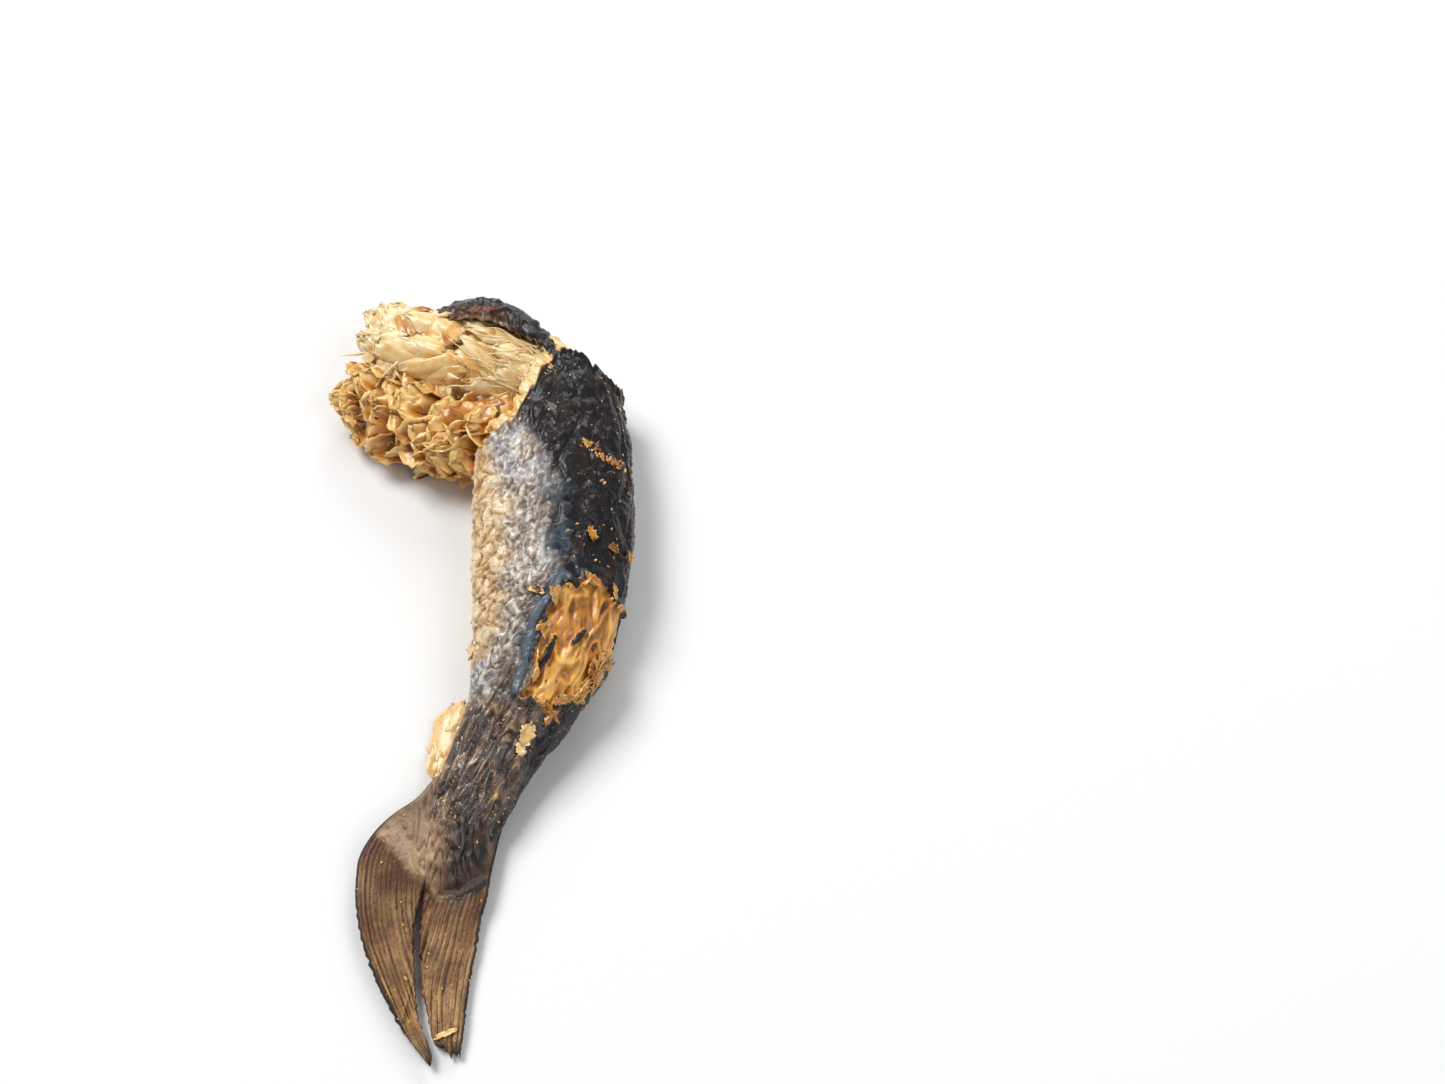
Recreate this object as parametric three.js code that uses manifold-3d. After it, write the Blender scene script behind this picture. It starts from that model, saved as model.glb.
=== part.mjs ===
// The tail half of a hot-smoked fish, lying on its right flank. The trunk and its forked tail fin are one grown
// piece with a torn front end. Out of that end have broken a block of back meat, with a strip of skin stuck to it,
// and a block of belly meat, and one loose flake lies against the tail stalk.
// Millimetres, +Z up. The trunk runs along Y with its tail towards -Y and its back towards +X.
import * as THREE from 'three';
import { ParametricGeometry } from 'three/addons/geometries/ParametricGeometry.js';
import { mergeVertices } from 'three/addons/utils/BufferGeometryUtils.js';
import Module from 'manifold-3d';

// Driving dimensions.
const GAP = 0.3; // clearance between pieces that touch
const SKIN_THICKNESS = 1.6;
const TORN_SLOPE = 0.4; // how far the torn face runs forward for each millimetre of depth
const TRUNK_TOP = 29;
const TABLE_SIDE = 400;

// Stations along each piece's own centre line: the centre, then the half depth across the piece in plan and the
// half thickness in Z. A piece closes to a point where both are zero.
const TRUNK = [
  { at: [18, 110, 15.5], girth: [0, 0] },
  { at: [19, 104, 15.5], girth: [15, 10] },
  { at: [22.6, 84, 15], girth: [21, 14.5] },
  { at: [23.6, 60, 14.8], girth: [23.8, 15.4] },
  { at: [24, 35, 14.4], girth: [23.6, 15] },
  { at: [22.6, 12, 13.2], girth: [21.6, 13.6] },
  { at: [16.8, -10, 10.6], girth: [16.8, 11] },
  { at: [8.6, -28, 8.4], girth: [12.6, 8.4] },
  { at: [2.4, -42, 7], girth: [11.4, 6.6] },
  { at: [-2.8, -54, 5.8], girth: [9.8, 4.8] },
  { at: [-6.4, -64, 5], girth: [5.6, 3.3] },
  { at: [-7.8, -70.5, 4.6], girth: [0, 0] },
];
const TAIL_FIN = [
  { at: [3.5, -34, 7], girth: [0, 0] },
  { at: [1, -40, 6.6], girth: [13.6, 1.9] },
  { at: [-4.4, -46, 6.2], girth: [16.8, 1.8] },
  { at: [-8.2, -52, 5.8], girth: [18.7, 1.7] },
  { at: [-10.2, -60, 5.2], girth: [19.8, 1.6] },
  { at: [-11.5, -72, 4.4], girth: [19, 1.5] },
  { at: [-11.7, -84, 3.6], girth: [16.7, 1.4] },
  { at: [-10.7, -94, 3], girth: [14, 1.3] },
  { at: [-8.9, -104, 2.5], girth: [11.1, 1.2] },
  { at: [-6.9, -112, 2.1], girth: [8.4, 1.1] },
  { at: [-4.4, -117.5, 1.9], girth: [5.4, 1] },
  { at: [-3, -119.5, 1.9], girth: [0, 0] },
];
const BACK_MEAT = [
  { at: [32, 90, 18], girth: [0, 0] },
  { at: [24, 91, 18], girth: [8, 6.5] },
  { at: [12, 94.5, 18.5], girth: [11.5, 9] },
  { at: [0, 97.5, 19], girth: [12.2, 10] },
  { at: [-12, 101, 19], girth: [11.4, 9] },
  { at: [-23, 105, 18.5], girth: [10.6, 7] },
  { at: [-33, 111, 18], girth: [6.6, 4] },
  { at: [-38, 115, 18], girth: [0, 0] },
];
const BELLY_MEAT = [
  { at: [22, 72, 12], girth: [0, 0] },
  { at: [13, 75, 11], girth: [10.5, 9] },
  { at: [0, 78.5, 9.8], girth: [14, 10.4] },
  { at: [-13, 81.5, 9], girth: [14.6, 10] },
  { at: [-26, 87, 8.6], girth: [12.4, 8.8] },
  { at: [-38, 92, 8.6], girth: [8.2, 6.2] },
  { at: [-46.5, 94.5, 9], girth: [4, 3] },
  { at: [-49, 95.5, 9.2], girth: [0, 0] },
];
const LOOSE_FLAKE = [
  { at: [-1, -10.5, 6], girth: [0, 0] },
  { at: [-4.5, -15, 5.2], girth: [3.6, 1.1] },
  { at: [-7, -21, 4.4], girth: [6, 1.3] },
  { at: [-7, -27, 4.2], girth: [4.4, 1.2] },
  { at: [-6.4, -34, 4.4], girth: [0, 0] },
];

// The torn front edge of the skin, seen from above, from the belly round to the back.
const TORN_EDGE = [
  [-40, 58], [-8, 65], [-3, 69], [2, 67.5], [6, 73], [11, 74.5], [14, 81],
  [18.5, 84], [20.5, 92], [24.5, 95], [27, 101], [32, 103], [60, 103],
];
const TORN_AWAY = [[60, 150], [-40, 150]]; // closes the region in front of the edge
const TORN_DIRECTION = [-0.62, 0.78]; // the way the torn face runs out under the skin

// The slit between the two lobes of the tail fin, as a thin wedge that opens towards the tips.
const FORK = [
  [-14.3, -79], [-13.4, -92], [-12, -101], [-9.6, -110], [-8.4, -114], [-8.6, -124],
  [-3.6, -124], [-5.4, -113], [-9.2, -106], [-10.8, -101], [-12.4, -92],
];
const FORK_HEIGHT = 12;

// The part of the back block that the strip of skin covers: beyond this line, and above this height.
const STRIP_BEHIND = [[-14, 107], [24, 96], [40, 92], [40, 130], [-14, 130]];
const STRIP_ABOVE = 12;

const COLOURS = {
  tail_half: 0x2b2622,
  back_meat: 0xd9b67c,
  belly_meat: 0xb9803c,
  skin_strip: 0x2a2320,
  loose_flake: 0xdcbd82,
};

const wasm = await Module();
wasm.setup();
const MERGE_MM = 1e-4;

// A closed geometry as a manifold-3d solid, without the empty triangles at its poles.
function toSolid(geometry) {
  const bare = geometry.clone();
  bare.deleteAttribute('normal');
  bare.deleteAttribute('uv');
  const merged = mergeVertices(bare, MERGE_MM);
  const corners = merged.index.array;
  const triangles = [];
  for (let i = 0; i < corners.length; i += 3) {
    const [a, b, c] = corners.slice(i, i + 3);
    if (a !== b && b !== c && c !== a) triangles.push(a, b, c);
  }
  const vertProperties = merged.attributes.position.array;
  const triVerts = new Uint32Array(triangles);
  return new wasm.Manifold(new wasm.Mesh({ numProp: 3, vertProperties, triVerts }));
}

// A manifold-3d solid as a geometry.
function toGeometry(solid) {
  const { vertProperties, triVerts } = solid.getMesh();
  const geometry = new THREE.BufferGeometry();
  geometry.setAttribute('position', new THREE.BufferAttribute(vertProperties, 3));
  geometry.setIndex(new THREE.BufferAttribute(triVerts, 1));
  geometry.computeVertexNormals();
  return geometry;
}

// A body lofted through stations. edge is 1 for an oval section and less for one with flatter faces, ripple is
// the share by which torn meat swells and shrinks, and grow adds to the half depth and half thickness.
function loft(stations, { around, along, edge = 1, ripple = 0, grow = 0 }) {
  const spine = new THREE.CatmullRomCurve3(
    stations.map(({ at }) => new THREE.Vector3(...at)), false, 'catmullrom');
  const girth = new THREE.CatmullRomCurve3(
    stations.map((s) => new THREE.Vector3(...s.girth, 0)), false, 'catmullrom');
  const centre = new THREE.Vector3();
  const half = new THREE.Vector3();
  const section = (u, v, target) => {
    spine.getPoint(v, centre);
    girth.getPoint(v, half);
    const heading = spine.getTangent(v).setZ(0).normalize();
    const angle = 2 * Math.PI * u;
    const swell = 1 + ripple * Math.sin(3 * angle + 23 * v) * Math.cos(2 * angle - 17 * v);
    const closed = v > 0 && v < 1 ? 1 : 0;
    const depth = closed * (Math.max(half.x, 0) * swell + grow) * Math.cos(angle);
    const rise = Math.sign(Math.sin(angle)) * Math.abs(Math.sin(angle)) ** edge;
    const height = closed * (Math.max(half.y, 0) * swell + grow) * rise;
    target.set(centre.x - heading.y * depth, centre.y + heading.x * depth, centre.z + height);
  };
  return toSolid(new ParametricGeometry(section, around, along));
}

// A vertical prism over an outline given as [x, y] points, from z = bottom up.
function prism(outline, bottom, height) {
  const shape = new THREE.Shape(outline.map(([x, y]) => new THREE.Vector2(x, y)));
  const geometry = new THREE.ExtrudeGeometry(shape, { depth: height, bevelEnabled: false });
  return geometry.translate(0, 0, bottom);
}

// Everything below the surface that the fish lies on: the side it was smoked on is pressed flat there.
function belowTable() {
  return toSolid(new THREE.BoxGeometry(TABLE_SIDE, TABLE_SIDE, TABLE_SIDE).translate(0, 0, -TABLE_SIDE / 2));
}

// What was torn away in front of the trunk. Its face leans forward as it goes down, so meat shows past the skin.
function tornAway() {
  const [leanX, leanY] = TORN_DIRECTION.map((d) => -d * TORN_SLOPE);
  const slope = new THREE.Matrix4().makeShear(0, 0, 0, 0, leanX, leanY);
  const height = 3 * TRUNK_TOP;
  const region = prism([...TORN_EDGE, ...TORN_AWAY], -2 * TRUNK_TOP, height).applyMatrix4(slope);
  return toSolid(region);
}

function trunk(grow) {
  return loft(TRUNK, { around: 32, along: 44, grow }).subtract(tornAway());
}

function tailFin(grow) {
  const fork = toSolid(prism(FORK, -FORK_HEIGHT / 2, FORK_HEIGHT));
  return loft(TAIL_FIN, { around: 28, along: 34, edge: 0.45, grow }).subtract(fork);
}

function tailHalf(grow = 0) {
  return trunk(grow).add(tailFin(grow)).subtract(belowTable());
}

function backMeat(grow = 0) {
  const block = loft(BACK_MEAT, { around: 20, along: 24, ripple: 0.12, grow });
  return block.subtract(tailHalf(GAP));
}

function bellyMeat() {
  const block = loft(BELLY_MEAT, { around: 20, along: 24, ripple: 0.12 });
  return block.subtract(tailHalf(GAP)).subtract(backMeat(GAP)).subtract(belowTable());
}

function skinStrip() {
  const covered = toSolid(prism(STRIP_BEHIND, STRIP_ABOVE, TRUNK_TOP));
  const shell = backMeat(GAP + SKIN_THICKNESS).subtract(backMeat(GAP));
  return shell.intersect(covered).subtract(tailHalf(GAP));
}

function looseFlake() {
  return loft(LOOSE_FLAKE, { around: 12, along: 14, edge: 0.6 }).subtract(tailHalf(GAP));
}

// A solid's own largest body, which drops the crumbs that a boolean can leave.
function largestBody(solid) {
  return solid.decompose().reduce((a, b) => (b.volume() > a.volume() ? b : a));
}

function piece(name, solid, roughness) {
  const material = new THREE.MeshStandardMaterial({ color: COLOURS[name], roughness, metalness: 0 });
  const mesh = new THREE.Mesh(toGeometry(largestBody(solid)), material);
  mesh.name = name;
  return mesh;
}

const fish = new THREE.Group();
fish.add(piece('tail_half', tailHalf(), 0.5));
fish.add(piece('back_meat', backMeat(), 0.6));
fish.add(piece('belly_meat', bellyMeat(), 0.5));
fish.add(piece('skin_strip', skinStrip(), 0.5));
fish.add(piece('loose_flake', looseFlake(), 0.6));

// The origin is under the middle of the whole piece, on the surface it lies on.
const box = new THREE.Box3().setFromObject(fish);
const middle = box.getCenter(new THREE.Vector3());
fish.position.set(-middle.x, -middle.y, -box.min.z);

const smokedFish = new THREE.Group();
smokedFish.add(fish);

export default smokedFish;
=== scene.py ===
"""The looks of the smoked fish's tail half: its skin, tail fin, torn meat, torn skin and crumbs.

Shapes are worked out in millimetres in the fish's own design frame, which part.mjs uses too. DESIGN_ORIGIN
says where that frame's origin lies in the row frame, and to_row() turns design millimetres into row metres.
"""
import math

import bpy
import numpy as np
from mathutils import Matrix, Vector


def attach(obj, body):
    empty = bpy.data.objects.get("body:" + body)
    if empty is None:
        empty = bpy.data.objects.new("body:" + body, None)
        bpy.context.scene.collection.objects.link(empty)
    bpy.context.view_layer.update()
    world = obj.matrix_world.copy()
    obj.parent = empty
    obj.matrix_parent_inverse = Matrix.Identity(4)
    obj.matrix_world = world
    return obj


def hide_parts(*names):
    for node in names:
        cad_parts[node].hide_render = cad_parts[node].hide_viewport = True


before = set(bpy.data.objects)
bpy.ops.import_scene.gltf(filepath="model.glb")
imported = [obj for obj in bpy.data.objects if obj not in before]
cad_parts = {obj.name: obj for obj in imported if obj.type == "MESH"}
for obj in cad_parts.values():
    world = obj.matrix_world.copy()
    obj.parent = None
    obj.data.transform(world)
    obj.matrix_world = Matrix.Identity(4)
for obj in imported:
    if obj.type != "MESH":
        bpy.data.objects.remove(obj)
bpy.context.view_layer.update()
DESIGN_ORIGIN = np.array([0.53, 1.71, 0.0])
MM = 0.001

# Stations along each loft, as in part.mjs: the centre, then half the depth in plan and half the thickness.
TRUNK = np.array([
    [18, 110, 15.5, 0, 0], [19, 104, 15.5, 15, 10], [22.6, 84, 15, 21, 14.5], [23.6, 60, 14.8, 23.8, 15.4],
    [24, 35, 14.4, 23.6, 15], [22.6, 12, 13.2, 21.6, 13.6], [16.8, -10, 10.6, 16.8, 11],
    [8.6, -28, 8.4, 12.6, 8.4], [2.4, -42, 7, 11.4, 6.6], [-2.8, -54, 5.8, 9.8, 4.8],
    [-6.4, -64, 5, 5.6, 3.3], [-7.8, -70.5, 4.6, 0, 0]], float)
BACK_MEAT = np.array([
    [32, 90, 18, 0, 0], [24, 91, 18, 8, 6.5], [12, 94.5, 18.5, 11.5, 9], [0, 97.5, 19, 12.2, 10],
    [-12, 101, 19, 11.4, 9], [-23, 105, 18.5, 10.6, 7], [-33, 111, 18, 6.6, 4], [-38, 115, 18, 0, 0]], float)
BELLY_MEAT = np.array([
    [22, 72, 12, 0, 0], [13, 75, 11, 10.5, 9], [0, 78.5, 9.8, 14, 10.4], [-13, 81.5, 9, 14.6, 10],
    [-26, 87, 8.6, 12.4, 8.8], [-38, 92, 8.6, 8.2, 6.2], [-46.5, 94.5, 9, 4, 3],
    [-49, 95.5, 9.2, 0, 0]], float)
TORN_EDGE_ACROSS = [-1, -0.86, -0.61, -0.5, -0.38, -0.26, -0.04, 0.14, 0.31, 0.54, 0.76, 1]
TORN_EDGE_Y = [65, 68.5, 71, 73, 77, 83, 90, 93.7, 95.4, 93.4, 88.5, 84]
TORN_FACE_CENTRE = np.array([8.0, 84.0, 12.0])

# The tear in the flank, the skin slivers left in it, and the glossy folds along its border, seen from above.
TEAR = np.array([
    [28.2, 18.2], [32.6, 17.9], [35.3, 20.8], [37.6, 19.5], [41.3, 18.8], [42.1, 15.4], [46.5, 14], [47, 8],
    [42.5, 2], [38, -3], [35.5, -8], [32.5, -12.6], [28, -14.5], [25.5, -15.8], [24.6, -19.5], [21.4, -15.7],
    [16.5, -14.4], [19.5, -10.1], [20.1, -7], [21.2, -1.3], [21.7, 1.6], [23, 6.6], [25.1, 10.7],
    [26.4, 14.3]], float)
SLIVERS = [([26.3, 2.8], [21.7, -7.2], 1.1), ([34.9, 5.3], [31.3, 0.8], 0.9)]
FOLDS = np.array([[27.2, 19.7], [25.1, 15.2], [22.4, 12], [19.9, 8.4], [19.3, 5.2], [18.5, 1.7], [17.2, -5],
                  [15.9, -9.2], [14.8, -13]], float)
CRUMB_RIDGE = np.array([[33.2, 64.5, 0], [38.4, 60.4, 0], [42.9, 59, 0], [46.4, 58.8, 0]])

# How far across the flank, from -1 at the belly to 1 at the back, each zone of the skin reaches at each Y.
CREAM_Y = [-12, -0.6, 4, 11, 19, 42, 53, 66]
CREAM_LIMIT = [-1.2, -0.83, -0.69, -0.58, -0.6, -0.58, -0.66, -0.85]
DARK_Y = [-60, -35, -20, -10, -4, 3, 10, 16, 21, 27, 33, 49, 58, 66, 73, 80]
DARK_LIMIT = [0.88, 0.8, 0.6, 0.3, -0.1, -0.17, -0.14, -0.05, 0.13, 0.08, -0.04, -0.04, -0.11, -0.24, -0.5,
              -0.7]


def to_row(points):
    return (points + DESIGN_ORIGIN) * MM


# ---------------------------------------------------------------- noise
GRADIENTS = np.random.default_rng(11).normal(size=(1024, 3))
GRADIENTS /= np.linalg.norm(GRADIENTS, axis=1, keepdims=True)


def noise(points, seed=0):
    """Smooth gradient noise of points (n, 3), within about -1 and 1."""
    cell = np.floor(points).astype(np.int64)
    inside = points - cell
    fade = inside ** 3 * (inside * (inside * 6 - 15) + 10)
    total = np.zeros(len(points))
    for corner in np.ndindex(2, 2, 2):
        c = cell + corner
        h = (c[:, 0] * 73856093) ^ (c[:, 1] * 19349663) ^ (c[:, 2] * 83492791) ^ (seed * 2654435761)
        h = (h ^ (h >> 13)) * 1540483477 & 0xFFFFFFFF
        gradient = GRADIENTS[(h ^ (h >> 15)) & 1023]
        weight = np.prod(np.where(np.array(corner) == 1, fade, 1 - fade), axis=1)
        total += weight * np.einsum("ij,ij->i", gradient, inside - corner)
    return total * 1.6


def fractal(points, seed=0, octaves=3):
    total, size = 0, 1.0
    for octave in range(octaves):
        total = total + noise(points * 2 ** octave, seed + 31 * octave) * size
        size *= 0.5
    return total


def warped(points, reach, size, seed):
    """points pushed about by noise: reach is how far, size the noise's own scale."""
    push = np.stack([noise(points / size, seed + k) for k in range(3)], 1)
    return points + push * reach


def creases(points, seed, sharp=1.3, tight=4.2):
    """Raised worm-like lines where the noise crosses zero: 1 on a line, 0 between."""
    return np.clip(1 - np.abs(noise(points, seed)) * tight, 0, 1) ** sharp


def swellings(points, seed, tight=3.2):
    """Rounded swellings with narrow grooves between them: 0 in a groove, 1 on top."""
    return np.clip(np.abs(noise(points, seed)) * tight, 0, 1) ** 0.6


def smooth_step(low, high, x):
    t = np.clip((x - low) / (high - low), 0, 1)
    return t * t * (3 - 2 * t)


# ---------------------------------------------------------------- lofts and grids
def catmull_rom(stations, t):
    """The three.js catmullrom curve through stations, at t from 0 to 1."""
    padded = np.vstack([2 * stations[0] - stations[1], stations, 2 * stations[-1] - stations[-2]])
    spans = len(stations) - 1
    place = np.clip(t, 0, 1) * spans
    i = np.minimum(place.astype(int), spans - 1)
    f = (place - i)[:, None]
    a, b, c, d = (padded[i + k] for k in range(4))
    square, cube = 2 * a - 5 * b + 4 * c - d, 3 * b - a - 3 * c + d
    return 0.5 * (2 * b + (c - a) * f + square * f ** 2 + cube * f ** 3)


class Loft:
    """Oval sections along a centre line. along is the distance in millimetres from the first station."""

    def __init__(self, stations, samples=900):
        self.rows = catmull_rom(stations, np.linspace(0, 1, samples))
        self.rows[:, 3:] = np.maximum(self.rows[:, 3:], 0.02)
        step = np.linalg.norm(np.diff(self.rows[:, :2], axis=0), axis=1)
        self.along = np.concatenate([[0], np.cumsum(step)])
        self.length = self.along[-1]
        heading = np.gradient(self.rows[:, :2], axis=0)
        self.heading = heading / np.linalg.norm(heading, axis=1, keepdims=True)

    def at(self, along):
        row = np.stack([np.interp(along, self.along, self.rows[:, k]) for k in range(5)], 1)
        heading = np.stack([np.interp(along, self.along, self.heading[:, k]) for k in range(2)], 1)
        return row, heading

    def along_at_y(self, y):
        return np.interp(-np.asarray(y), -self.rows[:, 1], self.along)

    def surface(self, along, angle, grow=0.0):
        """Points on the loft, and the same points straightened out as (along, across, up)."""
        row, heading = self.at(along)
        across, up = (row[:, 3] + grow) * np.cos(angle), (row[:, 4] + grow) * np.sin(angle)
        x, y = row[:, 0] - heading[:, 1] * across, row[:, 1] + heading[:, 0] * across
        points = np.stack([x, y, row[:, 2] + up], 1)
        return points, np.stack([along, across, up], 1)


def grid_faces(rows, columns, wrap):
    j, i = np.meshgrid(np.arange(rows - 1), np.arange(columns if wrap else columns - 1), indexing="ij")
    a, b = j * columns + i, j * columns + (i + 1) % columns
    return np.stack([a, b, b + columns, a + columns], -1).reshape(-1, 4)


def shell_faces(rows, columns):
    """A thin closed sheet: an upper grid, a lower grid of the points after it, and the wall between them."""
    count = rows * columns
    index = np.arange(count).reshape(rows, columns)
    loop = np.concatenate([index[0, :-1], index[:-1, -1], index[-1, :0:-1], index[:0:-1, 0]])
    after = np.roll(loop, -1)
    flat = grid_faces(rows, columns, False)
    return np.vstack([flat, flat[:, ::-1] + count, np.stack([after, loop, loop + count, after + count], 1)])


def grid_normals(points, rows, columns, wrap):
    grid = points.reshape(rows, columns, 3)
    if wrap:
        across = np.roll(grid, -1, 1) - np.roll(grid, 1, 1)
    else:
        across = np.gradient(grid, axis=1)
    normals = np.cross(across, np.gradient(grid, axis=0)).reshape(-1, 3)
    return normals / np.maximum(np.linalg.norm(normals, axis=1, keepdims=True), 1e-9)


def segment_gap(points, a, b):
    """Distance from points in plan to the segment from a to b, and the share of the way along it."""
    edge = b - a
    t = np.clip(((points - a) @ edge) / (edge @ edge), 0, 1)
    return np.linalg.norm(points - a - t[:, None] * edge, axis=1), t


def signed_distance(polygon, points):
    """Distance from points to a closed outline in plan, positive inside."""
    best = np.full(len(points), 1e9)
    inside = np.zeros(len(points), bool)
    for a, b in zip(polygon, np.roll(polygon, -1, 0)):
        best = np.minimum(best, segment_gap(points, a, b)[0])
        crosses = (a[1] > points[:, 1]) != (b[1] > points[:, 1])
        with np.errstate(divide="ignore", invalid="ignore"):
            x = a[0] + (points[:, 1] - a[1]) * (b - a)[0] / (b - a)[1]
        inside ^= crosses & (points[:, 0] < x)
    return np.where(inside, best, -best)


# ---------------------------------------------------------------- meshes
def facing_share(points, faces, towards):
    """Positive when the faces look outwards, or towards a direction where one is given."""
    a, b, c, d = (points[faces[:, k]] for k in range(4))
    normals = np.cross(c - a, d - b)
    out = (a + c) / 2 - points.mean(0) if towards is None else np.array(towards, float)
    return (normals * out).sum()


def link(name, data):
    """A new object in the scene."""
    made = bpy.data.objects.new(name, data)
    bpy.context.scene.collection.objects.link(made)
    return made


def make_piece(name, shape, materials, face_material=None, towards=None):
    """A mesh object that rides on the one body. shape is its design points, faces and point attributes."""
    points, faces, attributes = shape
    if facing_share(points, faces, towards) < 0:
        faces = faces[:, ::-1]
    mesh = bpy.data.meshes.new(name)
    mesh.from_pydata(to_row(points).tolist(), [], faces.tolist())
    for key, values in attributes.items():
        kind, field = ("FLOAT_VECTOR", "vector") if np.ndim(values) == 2 else ("FLOAT", "value")
        layer = mesh.attributes.new(key, kind, "POINT")
        layer.data.foreach_set(field, np.ascontiguousarray(values, np.float32).ravel())
    for material in materials:
        mesh.materials.append(material)
    if face_material is not None:
        mesh.polygons.foreach_set("material_index", face_material.astype(np.int32))
    mesh.polygons.foreach_set("use_smooth", np.ones(len(mesh.polygons), bool))
    mesh.update()
    piece = link(name, mesh)
    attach(piece, "root")
    return piece


def join_parts(parts):
    """Several (points, faces, attributes) as one."""
    points, faces, attributes = zip(*parts)
    starts = np.cumsum([0] + [len(p) for p in points[:-1]])
    joined = {key: np.concatenate([a[key] for a in attributes]) for key in attributes[0]}
    return np.vstack(points), np.vstack([f + start for f, start in zip(faces, starts)]), joined


# ---------------------------------------------------------------- materials
class Graph:
    """A short way to write a node material."""

    def __init__(self, name):
        self.material = bpy.data.materials.new(name)
        self.material.use_nodes = True
        self.tree = self.material.node_tree
        self.shader = self.tree.nodes["Principled BSDF"]

    def node(self, kind, **settings):
        made = self.tree.nodes.new(kind)
        for key, value in settings.items():
            setattr(made, key, value)
        return made

    def put(self, socket, value):
        if isinstance(value, bpy.types.NodeSocket):
            self.tree.links.new(value, socket)
        elif isinstance(value, (tuple, list)) and len(value) == 3 and socket.type == "RGBA":
            socket.default_value = (*value, 1)
        else:
            socket.default_value = value

    def attribute(self, name, vector=False):
        made = self.node("ShaderNodeAttribute", attribute_name=name)
        return made.outputs["Vector" if vector else "Fac"]

    def noise(self, scale, detail=3.0, rough=0.55, warp=0.0, vector=None):
        made = self.node("ShaderNodeTexNoise")
        self.put(made.inputs["Vector"], vector or self.attribute("straight", vector=True))
        for key, value in (("Scale", scale), ("Detail", detail), ("Roughness", rough), ("Distortion", warp)):
            made.inputs[key].default_value = value
        return made.outputs["Fac"]

    def math(self, operation, a, b=0.0):
        made = self.node("ShaderNodeMath", operation=operation)
        self.put(made.inputs[0], a)
        self.put(made.inputs[1], b)
        return made.outputs[0]

    def add(self, a, b):
        return self.math("ADD", a, b)

    def times(self, a, b):
        return self.math("MULTIPLY", a, b)

    def around(self, value, share):
        """A noise value's distance from its middle, times share."""
        return self.times(self.math("SUBTRACT", value, 0.5), share)

    def ramp(self, value, *stops):
        made = self.node("ShaderNodeValToRGB")
        self.put(made.inputs[0], value)
        elements = made.color_ramp.elements
        while len(elements) < len(stops):
            elements.new(0.5)
        for element, (position, colour) in zip(elements, stops):
            element.position = position
            element.color = (*colour, 1) if isinstance(colour, tuple) else (colour, colour, colour, 1)
        return made.outputs[0]

    def mix(self, factor, a, b):
        made = self.node("ShaderNodeMix", data_type="RGBA")
        self.put(made.inputs["Factor"], factor)
        self.put(made.inputs[6], a)
        self.put(made.inputs[7], b)
        return made.outputs[2]

    def finish(self, colour, roughness, height, bump_mm, **constants):
        bump = self.node("ShaderNodeBump")
        bump.inputs["Strength"].default_value = 1.0
        bump.inputs["Distance"].default_value = bump_mm * MM
        self.put(bump.inputs["Height"], height)
        self.put(self.shader.inputs["Normal"], bump.outputs[0])
        self.put(self.shader.inputs["Base Color"], colour)
        self.put(self.shader.inputs["Roughness"], roughness)
        for key, value in constants.items():
            self.put(self.shader.inputs[key.replace("_", " ")], value)
        return self.material


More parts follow.
